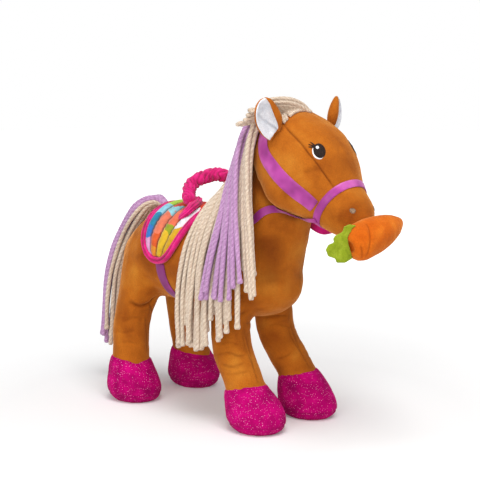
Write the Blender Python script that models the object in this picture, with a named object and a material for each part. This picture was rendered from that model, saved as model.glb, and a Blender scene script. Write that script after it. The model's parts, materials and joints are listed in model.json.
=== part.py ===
"""A stuffed plush horse with a yarn mane and tail, satin tack, a quilted saddle with a carry
handle, and a soft carrot at its mouth. Metres, +Z up, nose towards +X, its left side at +Y."""

import math

import bmesh
import bpy
import numpy as np

# Fabric, gaps and seams
gap = 0.0003
overrun = 0.012
plush_wall = 0.0025
ribbon_thickness = 0.0008
ribbon_lift = 0.0012
# How far apart two points lie between which a slope is measured
probe_share = 0.01

# Torso: a barrel with a domed rump and chest
torso_length = 0.245
torso_depth = 0.100
torso_width = 0.106
torso_axis_height = 0.160
torso_rump_x = -0.140
torso_rump_dome = 0.066
torso_chest_dome = 0.062
# Along the length: rise of the middle, half depth and half width
torso_shares = (
    (0.00, -0.18, 0.42, 0.43),
    (0.20, -0.02, 0.49, 0.49),
    (0.45, 0.00, 0.50, 0.50),
    (0.70, -0.02, 0.51, 0.49),
    (0.88, -0.10, 0.47, 0.46),
    (1.00, -0.17, 0.43, 0.44),
)

# Neck: rises from the shoulders into the head
neck_root_x = 0.055
neck_root_drop = 0.010
neck_lean = 0.045
neck_rise = 0.135
neck_bow = 0.004
neck_base_depth = 0.094
neck_base_width = 0.090
# Up the neck: half depth and half width
neck_shares = (
    (0.00, 0.50, 0.50),
    (0.25, 0.43, 0.43),
    (0.45, 0.385, 0.395),
    (0.70, 0.355, 0.37),
    (1.00, 0.33, 0.35),
)

# Head: an egg from the poll down to the muzzle
head_poll_x = 0.105
head_poll_rise = 0.125
head_back = 0.040
head_front = 0.117
head_pitch = math.radians(35)
head_depth = 0.088
head_width = 0.088
head_squareness = 2.2
head_back_dome = 0.042
head_front_dome = 0.026
# From the back to the muzzle: rise of the middle, half depth and half width
head_shares = (
    (0.00, -0.05, 0.42, 0.43),
    (0.25, -0.08, 0.49, 0.49),
    (0.45, -0.07, 0.51, 0.49),
    (0.62, -0.09, 0.43, 0.43),
    (0.78, -0.145, 0.295, 0.335),
    (0.90, -0.140, 0.260, 0.300),
    (1.00, -0.130, 0.240, 0.280),
)

# Limbs: each runs from inside the torso, a drop below its axis, down to the middle of its sole
hoof_height = 0.043
hoof_length = 0.062
hoof_width = 0.052
sole_height = 0.009
sole_floor = 0.003
front_limb = {
    "sole_x": 0.0905,
    "sole_y": 0.0390,
    "ankle_x": 0.0740,
    "knee_x": 0.0500,
    "knee_y": 0.0350,
    "hip_x": 0.048,
    "hip_y": 0.028,
    "hip_drop": 0.024,
    "thickness": 0.0405,
    "top_length": 0.046,
    "top_width": 0.042,
}
rear_limb = {
    "sole_x": -0.0905,
    "sole_y": 0.0450,
    "ankle_x": -0.0970,
    "knee_x": -0.1005,
    "knee_y": 0.0400,
    "hip_x": -0.0860,
    "hip_y": 0.0280,
    "hip_drop": 0.008,
    "thickness": 0.0405,
    "top_length": 0.062,
    "top_width": 0.046,
}
knee_height = 0.080
limb_inside_start_share = 0.04
# Down the leg: how far its section has shrunk from that of the hip to that of the ankle
leg_taper_shares = ((0.00, 0.0), (0.30, 0.55), (0.50, 0.92), (0.75, 1.0), (1.00, 1.0))
ankle_upright_share = 0.6
# Down the hoof: how far forward it sits, how far it has swollen, and how it rounds under
hoof_shares = (
    (0.00, 0.00, 0.00, 1.00),
    (0.25, 0.35, 0.60, 1.00),
    (0.50, 0.75, 0.92, 1.00),
    (0.75, 0.95, 1.00, 1.00),
    (0.92, 1.00, 1.00, 0.95),
    (1.00, 1.00, 1.00, 0.82),
)

# Ears: each base line runs round the head from a low to a high corner
ear_height = 0.037
ear_width = 0.031
ear_base_width = 0.016
ear_cloth = 0.0026
ear_lining_cloth = 0.0014
ear_cup = 0.007
ear_low_share = 0.272
ear_low_angle = math.radians(74)
ear_high_share = 0.252
ear_high_angle = math.radians(50)
ear_lift = 0.0005
ear_lean_out = math.radians(23.5)
ear_lean_back = math.radians(4)
# Up the ear: half width, cup and cloth
ear_shares = (
    (0.00, 0.50, 0.10, 0.35),
    (0.15, 0.74, 0.50, 0.90),
    (0.42, 1.00, 1.00, 1.00),
    (0.70, 0.80, 0.80, 1.00),
    (0.88, 0.56, 0.40, 0.90),
    (1.00, 0.24, 0.10, 0.80),
)

ear_turn_share = 0.40
ear_bowl_share = 0.50
ear_lining_start_share = 0.10

# Embroidery
eye_height = 0.0150
eye_width = 0.0115
eye_station_share = 0.540
eye_angle = math.radians(36)
nostril_height = 0.0075
nostril_width = 0.0060
nostril_station_share = 0.920
nostril_angle = math.radians(45)
stitch_thickness = 0.0008
patch_ring_shares = (0.5, 1.0)

# Bridle ribbons
cheek_ribbon_width = 0.0145
nose_ribbon_width = 0.0074
rein_ribbon_width = 0.0080
noseband_station_share = 0.765
# The headstall from the noseband up behind the ear to the poll: station and angle from the top
headstall_shares = (
    (0.730, 0.533),
    (0.620, 0.533),
    (0.490, 0.530),
    (0.370, 0.517),
    (0.250, 0.495),
    (0.165, 0.420),
    (0.115, 0.270),
    (0.095, 0.120),
    (0.092, 0.000),
)

rein_start_angle = math.radians(108)
# From the touch at the neck's front round to its crest: the turn, and how far up the neck
rein_neck_shares = ((0.00, 0.52), (0.14, 0.55), (0.36, 0.44), (0.70, 0.40), (1.00, 0.42))
rein_touch_angle = math.radians(140)
rein_span_shares = (0.3, 0.55, 0.8)
rein_out_shares = (0.2, -1.0, 0.0)
rein_sag = 0.003
rein_bulge = 0.004

# Saddle: an oval laid across the back, and the girth below it
saddle_x = -0.038
saddle_width = 0.068
saddle_reach = math.radians(90)
saddle_squareness = 2.3
saddle_thickness = 0.0065
saddle_lining_thickness = 0.0011
saddle_rim_share = 0.45
saddle_round_share = 0.28
saddle_tip_share = 0.985
saddle_crowding_share = 0.25
saddle_channels = 4
saddle_channel_depth = 0.0022
piping_diameter = 0.0052
girth_width = 0.0130
girth_seam_turn = math.radians(4)

# Handle: a gathered sleeve over a soft core, sewn down by a gathered tuck at each end
handle_diameter = 0.0142
handle_wall = 0.0022
handle_end_share = 0.90
handle_end_turn = math.radians(40)
handle_swell_share = 0.17
handle_core_tip_share = 0.80
handle_ruffles = 18
handle_ruffle_depth = 0.0010
handle_near_angle = math.radians(23)
handle_far_angle = math.radians(34)
handle_seat_x = -0.0195
handle_foot_turn = math.radians(20)
handle_foot_x = -0.025
handle_foot_width = 0.0075
handle_foot_thickness = 0.0036
handle_tuck_share = 0.62
handle_tuck_tip_share = 0.50
handle_tuck_tip_end_share = 0.12
handle_sink_share = 0.34
handle_rise = 0.0285
# From the right seat to the left one: across, then forward and up as shares of the rise
handle_arch_shares = (
    (0.00, 0.00, 0.00),
    (0.11, -0.33, 0.34),
    (0.20, -0.43, 0.60),
    (0.33, -0.32, 0.85),
    (0.49, -0.18, 1.00),
    (0.64, -0.05, 1.08),
    (0.77, 0.09, 1.01),
    (0.89, 0.20, 0.79),
    (0.98, 0.17, 0.43),
    (1.00, 0.00, 0.00),
)

# Mane: yarn locks sewn along the crest of the neck and the back of the head, falling on the right
mane_spread = 0.103
mane_reach = 0.062
# Its heights are measured from a line this far below the torso's axis
mane_hang = 0.160
mane_top = 0.322
mane_tape_width = 0.009
mane_tape_thickness = 0.0015
mane_tape_low_share = 0.62
mane_tape_high_share = 0.90
mane_lock_thickness = 0.0068
mane_edge_share = 0.85
# Down the rear, middle and front of the mane: fall, then forward, to the right, and height
mane_rear_shares = (
    (0.00, 0.534, 0.13, 0.789),
    (0.10, 0.466, 0.39, 0.745),
    (0.25, 0.320, 0.70, 0.668),
    (0.42, 0.155, 0.92, 0.565),
    (0.60, 0.039, 0.98, 0.466),
    (0.80, -0.029, 1.00, 0.348),
    (1.00, -0.029, 1.00, 0.224),
)
mane_middle_shares = (
    (0.00, 0.641, 0.13, 0.932),
    (0.10, 0.631, 0.38, 0.879),
    (0.25, 0.621, 0.63, 0.786),
    (0.42, 0.583, 0.82, 0.658),
    (0.60, 0.534, 0.94, 0.528),
    (0.80, 0.515, 1.00, 0.373),
    (1.00, 0.515, 1.00, 0.224),
)
mane_front_shares = (
    (0.00, 0.845, 0.11, 1.000),
    (0.10, 0.854, 0.50, 0.972),
    (0.25, 0.883, 0.79, 0.887),
    (0.42, 0.883, 0.82, 0.745),
    (0.60, 0.942, 0.85, 0.590),
    (0.80, 1.039, 0.92, 0.404),
    (1.00, 1.078, 0.98, 0.224),
)
mane_layer_gap = 0.0006
mane_step_share = 0.0625
# Down a lock: how full it is
mane_fullness_shares = ((0.00, 0.35), (0.06, 0.75), (0.13, 0.97), (0.25, 1.00), (0.60, 1.00),
                        (0.85, 1.00), (1.00, 0.80))
# Each lock: its name, where it starts and ends along the crest, its fall, and its layer
mane_lock_shares = (
    ("mane_rear", 0.00, 0.42, 1.00, 0, "cream"),
    ("mane_middle", 0.43, 0.79, 0.93, 0, "cream"),
    ("mane_front", 0.80, 1.00, 0.78, 0, "cream"),
    ("mane_lilac", 0.45, 0.82, 0.77, 1, "lilac"),
)

# Crown tuft: one lock from the poll between the ears, falling back over the right side
tuft_station_share = 0.190
tuft_length = 0.080
tuft_width = 0.026
tuft_thickness = 0.0100
# Along the tuft: forward, to the right and up from the crown, then half width and half thickness
tuft_shares = (
    (0.020, -0.160, 0.012, 0.20, 0.16),
    (-0.045, 0.000, 0.070, 0.38, 0.42),
    (-0.130, 0.250, 0.106, 0.50, 0.50),
    (-0.245, 0.525, 0.050, 0.50, 0.45),
    (-0.345, 0.775, -0.024, 0.44, 0.38),
)

# Tail: a bound knot on the rump and two locks
tail_root_x = -0.090
tail_knot_diameter = 0.013
tail_back = 0.093
tail_drop = 0.170
tail_width = 0.032
tail_lock_thickness = 0.0088
tail_squareness = 2.6
# Along the tail: back and up from the knot, half width and half thickness
tail_shares = (
    (0.000, 0.000, 0.18, 0.16),
    (0.070, 0.008, 0.26, 0.24),
    (0.216, 0.012, 0.42, 0.42),
    (0.410, -0.045, 0.50, 0.50),
    (0.570, -0.135, 0.50, 0.50),
    (0.725, -0.272, 0.50, 0.50),
    (0.843, -0.444, 0.50, 0.50),
    (0.930, -0.686, 0.50, 0.50),
    (1.000, -1.000, 0.47, 0.47),
)

# Carrot, held across the front of the mouth with its tip to the left
carrot_length = 0.0700
carrot_diameter = 0.0362
carrot_cloth = 0.0022
carrot_base_x = 0.2070
carrot_base_y = -0.0400
carrot_base_rise = 0.0365
carrot_tip_forward = 0.008
carrot_tip_rise = 0.019
carrot_opening_share = 0.30
carrot_ring_shares = (0.0, 0.04, 0.10, 0.18, 0.28, 0.40, 0.52, 0.64, 0.76, 0.86, 0.94, 1.0)
carrot_shares = (
    (0.00, 0.50),
    (0.10, 0.88),
    (0.28, 1.00),
    (0.50, 0.95),
    (0.72, 0.76),
    (0.90, 0.47),
    (1.00, 0.20),
)
leaf_rise = 0.0055
leaf_tuck = 0.0045
leaf_height = 0.035
leaf_reach = 0.029
leaf_thickness = 0.0030
leaf_turn = math.radians(20)
# Round the leaf from its inner middle: outwards from the carrot, and up from the middle
leaf_outline_shares = (
    (-0.25, 0.30), (-0.05, 0.42), (0.16, 0.46), (0.34, 0.40), (0.40, 0.26), (0.66, 0.17),
    (0.72, 0.08), (0.68, 0.00), (0.88, -0.04), (1.00, -0.18), (0.90, -0.36), (0.64, -0.44),
    (0.60, -0.54), (0.32, -0.56), (0.06, -0.46), (-0.15, -0.30),
)

plush_brown = (0.50, 0.16, 0.025)
hoof_magenta = (0.56, 0.005, 0.18)
satin_orchid = (0.46, 0.06, 0.36)
piping_pink = (0.78, 0.003, 0.22)
yarn_cream = (0.63, 0.53, 0.39)
yarn_lilac = (0.56, 0.32, 0.62)
lining_white = (0.74, 0.76, 0.80)
fill_white = (0.85, 0.85, 0.83)
saddle_print = (0.80, 0.35, 0.10)
thread_brown = (0.035, 0.015, 0.010)
thread_grey = (0.33, 0.28, 0.24)
carrot_orange = (0.85, 0.20, 0.02)
leaf_green = (0.33, 0.38, 0.03)


def clear_scene():
    for thing in list(bpy.data.objects):
        bpy.data.objects.remove(thing)


def material(name, colour, roughness, metallic=0.0):
    made = bpy.data.materials.new(name)
    made.use_nodes = True
    shader = made.node_tree.nodes["Principled BSDF"]
    shader.inputs["Base Color"].default_value = (*colour, 1.0)
    shader.inputs["Roughness"].default_value = roughness
    shader.inputs["Metallic"].default_value = metallic
    return made


def row_at(table, t):
    """The row of a share table at t, on a smooth curve through its rows."""
    rows = np.array(table, float)
    keys = rows[:, 0]
    slopes = np.gradient(rows[:, 1:], keys, axis=0)
    k = int(np.clip(np.searchsorted(keys, t) - 1, 0, len(keys) - 2))
    span = keys[k + 1] - keys[k]
    u = min(max((t - keys[k]) / span, 0.0), 1.0)
    start = (2 * u**3 - 3 * u**2 + 1) * rows[k, 1:] + (u**3 - 2 * u**2 + u) * span * slopes[k]
    end = (3 * u**2 - 2 * u**3) * rows[k + 1, 1:] + (u**3 - u**2) * span * slopes[k + 1]
    return start + end


def smooth_path(rows, count):
    """Evenly spaced rows of the smooth curve through the given ones; each row starts with a point."""
    rows = np.array(rows, float)
    lengths = np.linalg.norm(np.diff(rows[:, :3], axis=0), axis=1)
    keys = np.concatenate([[0.0], np.cumsum(lengths)]) / lengths.sum()
    table = np.column_stack([keys, rows])
    return np.array([row_at(table, t) for t in np.linspace(0.0, 1.0, count)])


def unit(vector):
    vector = np.array(vector, float)
    return vector / np.linalg.norm(vector)


def section(angle, half_across, half_up, squareness=2.0):
    """Across and up offsets of a rounded section; angle 0 is straight up, a quarter turn is across."""
    across = math.copysign(abs(math.sin(angle)) ** (2 / squareness), math.sin(angle))
    up = math.copysign(abs(math.cos(angle)) ** (2 / squareness), math.cos(angle))
    return half_across * across, half_up * up


def tube_rings(path, across, half_wide, half_deep, sides, squareness=2.0):
    """Rings square to a path; across is the direction of the wide side."""
    tangents = np.gradient(path, axis=0)
    rings = []
    for k, (point, tangent) in enumerate(zip(path, tangents)):
        tangent = unit(tangent)
        wide = across[k] if np.ndim(across) == 2 else across
        wide = unit(wide - np.dot(wide, tangent) * tangent)
        deep = np.cross(tangent, wide)
        ring = []
        for n in range(sides):
            a, b = section(2 * math.pi * n / sides, half_wide[k], half_deep[k], squareness)
            ring.append(point + wide * a + deep * b)
        rings.append(np.array(ring))
    return rings


def mesh_object(name, points, faces, finish=None, pivot=None):
    """One closed solid; a moving piece has its origin at the pivot, on its joint's axis."""
    pivot = np.zeros(3) if pivot is None else pivot
    mesh = bpy.data.meshes.new(name)
    shape = bmesh.new()
    made = [shape.verts.new(point - pivot) for point in points]
    for face in faces:
        shape.faces.new([made[k] for k in face])
    bmesh.ops.recalc_face_normals(shape, faces=shape.faces)
    shape.to_mesh(mesh)
    shape.free()
    mesh.shade_smooth()
    mesh.set_sharp_from_angle(angle=math.radians(40))
    thing = bpy.data.objects.new(name, mesh)
    bpy.context.scene.collection.objects.link(thing)
    thing.parent = stand
    thing.location = pivot
    if finish:
        thing.data.materials.append(finish)
    return thing


def loft(name, rings, finish=None, looped=False, pivot=None):
    """Rings joined by triangles, with both ends closed round a middle point unless looped."""
    sides = len(rings[0])
    points = [point for ring in rings for point in ring]
    faces = []
    count = len(rings)
    for r in range(count if looped else count - 1):
        here, there = r * sides, ((r + 1) % count) * sides
        for n in range(sides):
            m = (n + 1) % sides
            faces.append((here + n, here + m, there + m))
            faces.append((here + n, there + m, there + n))
    if not looped:
        for ring, start in ((rings[0], 0), (rings[-1], (count - 1) * sides)):
            points.append(ring.mean(axis=0))
            hub = len(points) - 1
            faces += [(start + n, start + (n + 1) % sides, hub) for n in range(sides)]
    return mesh_object(name, points, faces, finish, pivot)


def sheet_solid(name, outer, inner, finish, pivot=None):
    """A closed solid between two grids of points of the same size."""
    rows, columns = len(outer), len(outer[0])
    points = [p for row in outer for p in row] + [p for row in inner for p in row]
    half = rows * columns

    def at(r, c, side):
        return side * half + r * columns + c

    faces = []
    for r in range(rows - 1):
        for c in range(columns - 1):
            for side in (0, 1):
                faces.append((at(r, c, side), at(r, c + 1, side), at(r + 1, c + 1, side)))
                faces.append((at(r, c, side), at(r + 1, c + 1, side), at(r + 1, c, side)))
    for r in range(rows - 1):
        for c in (0, columns - 1):
            faces.append((at(r, c, 0), at(r + 1, c, 0), at(r + 1, c, 1), at(r, c, 1)))
    for c in range(columns - 1):
        for r in (0, rows - 1):
            faces.append((at(r, c, 0), at(r, c + 1, 0), at(r, c + 1, 1), at(r, c, 1)))
    return mesh_object(name, points, faces, finish, pivot)


def cutter(name, rings):
    thing = loft(name, rings)
    thing.hide_render = True
    thing.display_type = "WIRE"
    return thing


def cut(thing, *cutters):
    for tool in cutters:
        step = thing.modifiers.new("cut_" + tool.name, "BOOLEAN")
        step.operation = "DIFFERENCE"
        step.solver = "EXACT"
        step.object = tool


# Torso


def torso_section(x, grow=0.0):
    """Middle height, half depth and half width of the torso at x."""
    share = (x - torso_rump_x) / torso_length
    rise, deep, wide = row_at(torso_shares, share)
    behind = min(1.0, (x - torso_rump_x) / torso_rump_dome)
    ahead = min(1.0, (torso_rump_x + torso_length - x) / torso_chest_dome)
    dome = math.sqrt(max(0.0, 1 - (1 - behind) ** 2)) * math.sqrt(max(0.0, 1 - (1 - ahead) ** 2))
    return (
        torso_axis_height + rise * torso_depth,
        deep * torso_depth * dome + grow,
        wide * torso_width * dome + grow,
    )


def torso_point(x, angle, grow=0.0):
    """A point over the torso's skin; angle 0 is the spine and a quarter turn the left flank."""
    middle, deep, wide = torso_section(x, grow)
    across, up = section(angle, wide, deep)
    return np.array((x, across, middle + up))


def dome_stations(start, end, start_dome, end_dome, middle_count, dome_count=5):
    """Stations packed towards two round ends, and one short of each tip."""
    turns = np.linspace(0.0, math.pi / 2, dome_count + 1)[1:]
    first = [start + start_dome * (1 - math.cos(turn)) for turn in turns]
    last = [end - end_dome * (1 - math.cos(turn)) for turn in turns]
    middle = np.linspace(first[-1], last[-1], middle_count + 2)[1:-1]
    return first + list(middle) + last[::-1]


def torso_rings(grow, sides, middle_count, dome_count):
    start = torso_rump_x
    end = torso_rump_x + torso_length
    rings = []
    for x in dome_stations(start, end, torso_rump_dome, torso_chest_dome, middle_count, dome_count):
        ring = np.array([torso_point(x, 2 * math.pi * n / sides, grow) for n in range(sides)])
        behind = max(0.0, 1 - (x - start) / torso_rump_dome)
        ahead = max(0.0, 1 - (end - x) / torso_chest_dome)
        ring[:, 0] += grow * (ahead - behind)
        rings.append(ring)
    return rings


# Neck


def neck_middle(share):
    return np.array((
        neck_root_x + neck_lean * share + neck_bow * math.sin(math.pi * share),
        0.0,
        torso_axis_height - neck_root_drop + neck_rise * share,
    ))


def neck_frame(share):
    """Middle, up the neck, and towards the chest."""
    rising = unit(neck_middle(share + probe_share) - neck_middle(share - probe_share))
    forward = np.array((rising[2], 0.0, -rising[0]))
    return neck_middle(share), rising, forward


def neck_point(share, angle, grow=0.0):
    """A point over the neck's skin; angle 0 is the crest, a quarter turn the left side."""
    middle, _, forward = neck_frame(share)
    deep, wide = row_at(neck_shares, share)
    across, back = section(angle, wide * neck_base_width + grow, deep * neck_base_depth + grow)
    return middle + np.array((0.0, across, 0.0)) - forward * back


def neck_rings(grow, sides, count):
    return [
        np.array([neck_point(share, 2 * math.pi * n / sides, grow) for n in range(sides)])
        for share in np.linspace(0.0, 1.0, count)
    ]


# Head

head_along = np.array((math.cos(head_pitch), 0.0, -math.sin(head_pitch)))
head_up = np.array((math.sin(head_pitch), 0.0, math.cos(head_pitch)))
head_poll = np.array((head_poll_x, 0.0, torso_axis_height + head_poll_rise))
head_length = head_back + head_front


def head_section(share, grow=0.0):
    rise, deep, wide = row_at(head_shares, share)
    behind = min(1.0, share * head_length / head_back_dome)
    ahead = min(1.0, (1 - share) * head_length / head_front_dome)
    dome = math.sqrt(max(0.0, 1 - (1 - behind) ** 2)) * math.sqrt(max(0.0, 1 - (1 - ahead) ** 2))
    return rise * head_depth, deep * head_depth * dome + grow, wide * head_width * dome + grow


def head_point(share, angle, grow=0.0):
    """A point over the head's skin; angle 0 is its top line, a quarter turn its left side."""
    rise, deep, wide = head_section(share, grow)
    across, up = section(angle, wide, deep, head_squareness)
    middle = head_poll + head_along * (share * head_length - head_back) + head_up * rise
    return middle + np.array((0.0, across, 0.0)) + head_up * up


def head_normal(share, angle):
    along = head_point(share + probe_share, angle) - head_point(share - probe_share, angle)
    around = head_point(share, angle + probe_share) - head_point(share, angle - probe_share)
    return unit(np.cross(along, around))


def head_rings(grow, sides, middle_count, dome_count):
    rings = []
    for s in dome_stations(0.0, head_length, head_back_dome, head_front_dome, middle_count, dome_count):
        share = s / head_length
        ring = np.array([head_point(share, 2 * math.pi * n / sides, grow) for n in range(sides)])
        behind = max(0.0, 1 - s / head_back_dome)
        ahead = max(0.0, 1 - (head_length - s) / head_front_dome)
        rings.append(ring + head_along * grow * (ahead - behind))
    return rings


# Limbs


def limb_centre(size, side, share):
    """Middle of the leg at a share of the way from the hip to the hoof's cuff."""
    hip_height = torso_axis_height - size["hip_drop"]
    hip = (size["hip_x"], side * size["hip_y"], hip_height)
    knee = (size["knee_x"], side * size["knee_y"], knee_height)
    cuff = (size["ankle_x"], side * size["sole_y"], hoof_height)
    keys = (0.0, (hip_height - knee_height) / (hip_height - hoof_height), 1.0)
    return row_at([(key, *point) for key, point in zip(keys, (hip, knee, cuff))], share)


def limb_ring(middle, down, half_long, half_wide, sides):
    fore = unit(np.array((1.0, 0.0, 0.0)) - down[0] * down)
    left = np.cross(fore, down)
    ring = []
    for n in range(sides):
        a, b = section(2 * math.pi * n / sides, half_wide, half_long)
        ring.append(middle + left * a + fore * b)
    return np.array(ring)


def leg_down(size, side, share):
    low, high = min(share + 2 * probe_share, 1.0), max(share - 2 * probe_share, 0.0)
    leaning = unit(limb_centre(size, side, low) - limb_centre(size, side, high))
    upright = ankle_upright_share * share**2
    return unit(leaning * (1 - upright) + np.array((0.0, 0.0, -1.0)) * upright)


def leg_ring(size, side, share, grow, sides):
    (taper,) = row_at(leg_taper_shares, share)
    half_long = (size["top_length"] * (1 - taper) + size["thickness"] * taper) / 2 + grow
    half_wide = (size["top_width"] * (1 - taper) + size["thickness"] * taper) / 2 + grow
    middle = limb_centre(size, side, share)
    return limb_ring(middle, leg_down(size, side, share), half_long, half_wide, sides)


def hoof_ring(size, side, share, grow, sides):
    """A ring of the hoof; share 0 matches the leg's last ring and 1 lies flat on the floor."""
    forward, swell, tuck = row_at(hoof_shares, share)
    cuff = limb_centre(size, side, 1.0)
    x = cuff[0] + (size["sole_x"] - cuff[0]) * forward
    middle = np.array((x, cuff[1], hoof_height * (1 - share)))
    down = unit(leg_down(size, side, 1.0) * (1 - share) + np.array((0.0, 0.0, -1.0)) * share)
    half_long = (size["thickness"] * (1 - swell) + hoof_length * swell) / 2 * tuck + grow
    half_wide = (size["thickness"] * (1 - swell) + hoof_width * swell) / 2 * tuck + grow
    return limb_ring(middle, down, half_long, half_wide, sides)


def limb_inside(size, side, grow, floor_gap, sides=10):
    """The space inside a limb's cloth, from the hip down to just over the sole."""
    leg = [leg_ring(size, side, share, grow, sides)
           for share in np.linspace(limb_inside_start_share, 1.0, 7)]
    bottom = 1 - sole_floor / hoof_height
    shares = np.linspace(0.0, bottom, 5)
    shares[-1] -= floor_gap / hoof_height
    hoof = [hoof_ring(size, side, share, grow, sides) for share in shares[1:]]
    return leg + hoof


def build_limb(name, size, side, torso_keepout):
    inside = cutter("inside_" + name, limb_inside(size, side, -plush_wall, 0.0))
    leg_sides = 14
    leg = loft("leg_" + name, [leg_ring(size, side, share, 0.0, leg_sides)
                               for share in np.linspace(0.0, 1.0, 7)], plush)
    cut(leg, inside, torso_keepout)
    seam = 1 - sole_height / hoof_height
    wall_shares = np.linspace(gap / hoof_height, seam - gap / hoof_height, 5)
    wall = loft("hoof_" + name, [hoof_ring(size, side, share, 0.0, leg_sides)
                                 for share in wall_shares], hoof_cloth)
    cut(wall, inside)
    sole_shares = np.linspace(seam, 1.0, 4)
    sole = loft("sole_" + name, [hoof_ring(size, side, share, 0.0, leg_sides)
                                 for share in sole_shares], hoof_cloth)
    cut(sole, inside)
    fill = loft("stuffing_leg_" + name, limb_inside(size, side, -plush_wall - gap, gap), stuffing)
    cut(fill, torso_keepout)


# Things that lie on the skin


def head_patch(name, share, angle, width, height, finish):
    """An oval of embroidery that follows the head's skin."""
    sides = 12
    normal = head_normal(share, angle)
    up = unit(head_up - np.dot(head_up, normal) * normal)
    right = np.cross(up, normal)
    centre = head_point(share, angle)
    sheets = []
    for lift in (gap, gap + stitch_thickness):
        rings = []
        for reach in patch_ring_shares:
            ring = []
            for n in range(sides):
                turn = 2 * math.pi * n / sides
                offset = (right * width / 2 * math.sin(turn) + up * height / 2 * math.cos(turn)) * reach
                ring.append(head_over(centre + offset, lift))
            rings.append(np.array(ring))
        sheets.append((head_over(centre, lift), rings))
    (low_hub, low), (high_hub, high) = sheets
    points = [low_hub, high_hub]
    loops = low[:1] + low[1:] + high[1:] + high[:1]
    for ring in loops:
        points += list(ring)
    faces = []
    for r in range(len(loops) - 1):
        for n in range(sides):
            m = (n + 1) % sides
            here, there = 2 + r * sides, 2 + (r + 1) * sides
            faces.append((here + n, here + m, there + m, there + n))
    last = 2 + (len(loops) - 1) * sides
    for n in range(sides):
        m = (n + 1) % sides
        faces.append((0, 2 + n, 2 + m))
        faces.append((1, last + n, last + m))
    return mesh_object(name, points, faces, finish)


def head_over(point, lift):
    """The point of the head's skin nearest the given one, lifted off it."""
    share = float(np.dot(point - head_poll, head_along) + head_back) / head_length
    for _ in range(6):
        rise = head_section(share)[0]
        middle = head_poll + head_along * (share * head_length - head_back) + head_up * rise
        offset = point - middle
        half_deep, half_wide = head_section(share)[1:]
        angle = math.atan2(
            math.copysign(abs(offset[1] / half_wide) ** (head_squareness / 2), offset[1]),
            math.copysign(abs(np.dot(offset, head_up) / half_deep) ** (head_squareness / 2),
                          np.dot(offset, head_up)),
        )
        surface = head_point(share, angle)
        normal = head_normal(share, angle)
        miss = point - surface
        flat = miss - np.dot(miss, normal) * normal
        share += float(np.dot(flat, head_along)) / head_length
    return head_point(share, angle) + head_normal(share, angle) * lift


def ribbon(name, centres, normals, width, finish, looped=False, thickness=ribbon_thickness):
    """A flat band along a line, its underside on the line and its face along the normals."""
    centres, normals = np.array(centres), np.array(normals)
    if looped:
        tangents = np.roll(centres, -1, axis=0) - np.roll(centres, 1, axis=0)
    else:
        tangents = np.gradient(centres, axis=0)
    rings = []
    for centre, tangent, normal in zip(centres, tangents, normals):
        normal = unit(normal - np.dot(normal, unit(tangent)) * unit(tangent))
        side = unit(np.cross(tangent, normal))
        half = side * width / 2
        top = normal * thickness
        rings.append(np.array([centre - half, centre + half, centre + half + top, centre - half + top]))
    return loft(name, rings, finish, looped)


# Ears


def ear_base(side):
    """The middle of an ear's base line, on its hinge, and the line's direction."""
    low = head_point(ear_low_share, side * ear_low_angle)
    high = head_point(ear_high_share, side * ear_high_angle)
    middle_share = (ear_low_share + ear_high_share) / 2
    middle_angle = side * (ear_low_angle + ear_high_angle) / 2
    foot = head_point(middle_share, middle_angle) + head_normal(middle_share, middle_angle) * ear_lift
    return foot, unit(high - low)


def build_ear(hand, side):
    foot, along_base = ear_base(side)
    out = side * math.sin(ear_lean_out)
    rise = unit((-math.sin(ear_lean_back), out, math.cos(ear_lean_out)))
    wide = unit(along_base - np.dot(along_base, rise) * rise)
    facing = np.cross(wide, rise) * -side
    rows, columns = 7, 6

    def grid(lift, start):
        made = []
        for t in np.linspace(start, 1.0, rows):
            half, cup, cloth = row_at(ear_shares, t)
            turn = max(0.0, 1 - t / ear_turn_share)
            across = unit(wide * (1 - turn) + along_base * turn)
            row = []
            for v in np.linspace(-1.0, 1.0, columns):
                bowl = ear_cup * cup * (v * v - ear_bowl_share)
                point = foot + rise * ear_height * t + across * v * half * ear_width / 2
                row.append(point + facing * (bowl + lift * cloth))
            made.append(row)
        return made

    back = grid(-ear_cloth / 2, 0.0)
    front = grid(ear_cloth / 2, 0.0)
    sheet_solid("ear_" + hand, front, back, plush, foot)
    lining_lift = ear_cloth / 2 + 2 * gap
    lining_back = grid(lining_lift, ear_lining_start_share)
    lining_front = grid(lining_lift + ear_lining_cloth, ear_lining_start_share)
    sheet_solid("ear_lining_" + hand, lining_front, lining_back, ear_cloth_white, foot)


# Bridle


def headstall_line():
    near = [(share, -turn * math.pi) for share, turn in headstall_shares]
    far = [(share, -angle) for share, angle in near[-2::-1]]
    keys = np.linspace(0.0, 1.0, len(near) + len(far))
    table = [(key, *spot) for key, spot in zip(keys, near + far)]
    return [row_at(table, t) for t in np.linspace(0.0, 1.0, 33)]


def build_bridle():
    line = headstall_line()
    centres = [head_point(share, angle) + head_normal(share, angle) * gap for share, angle in line]
    normals = [head_normal(share, angle) for share, angle in line]
    ribbon("headstall", centres, normals, cheek_ribbon_width, satin)
    turns = np.linspace(0.0, 2 * math.pi, 29)[:-1]
    centres = []
    normals = []
    for turn in turns:
        normal = head_normal(noseband_station_share, turn)
        centres.append(head_point(noseband_station_share, turn) + normal * ribbon_lift)
        normals.append(normal)
    ribbon("noseband", centres, normals, nose_ribbon_width, satin, looped=True)


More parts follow.
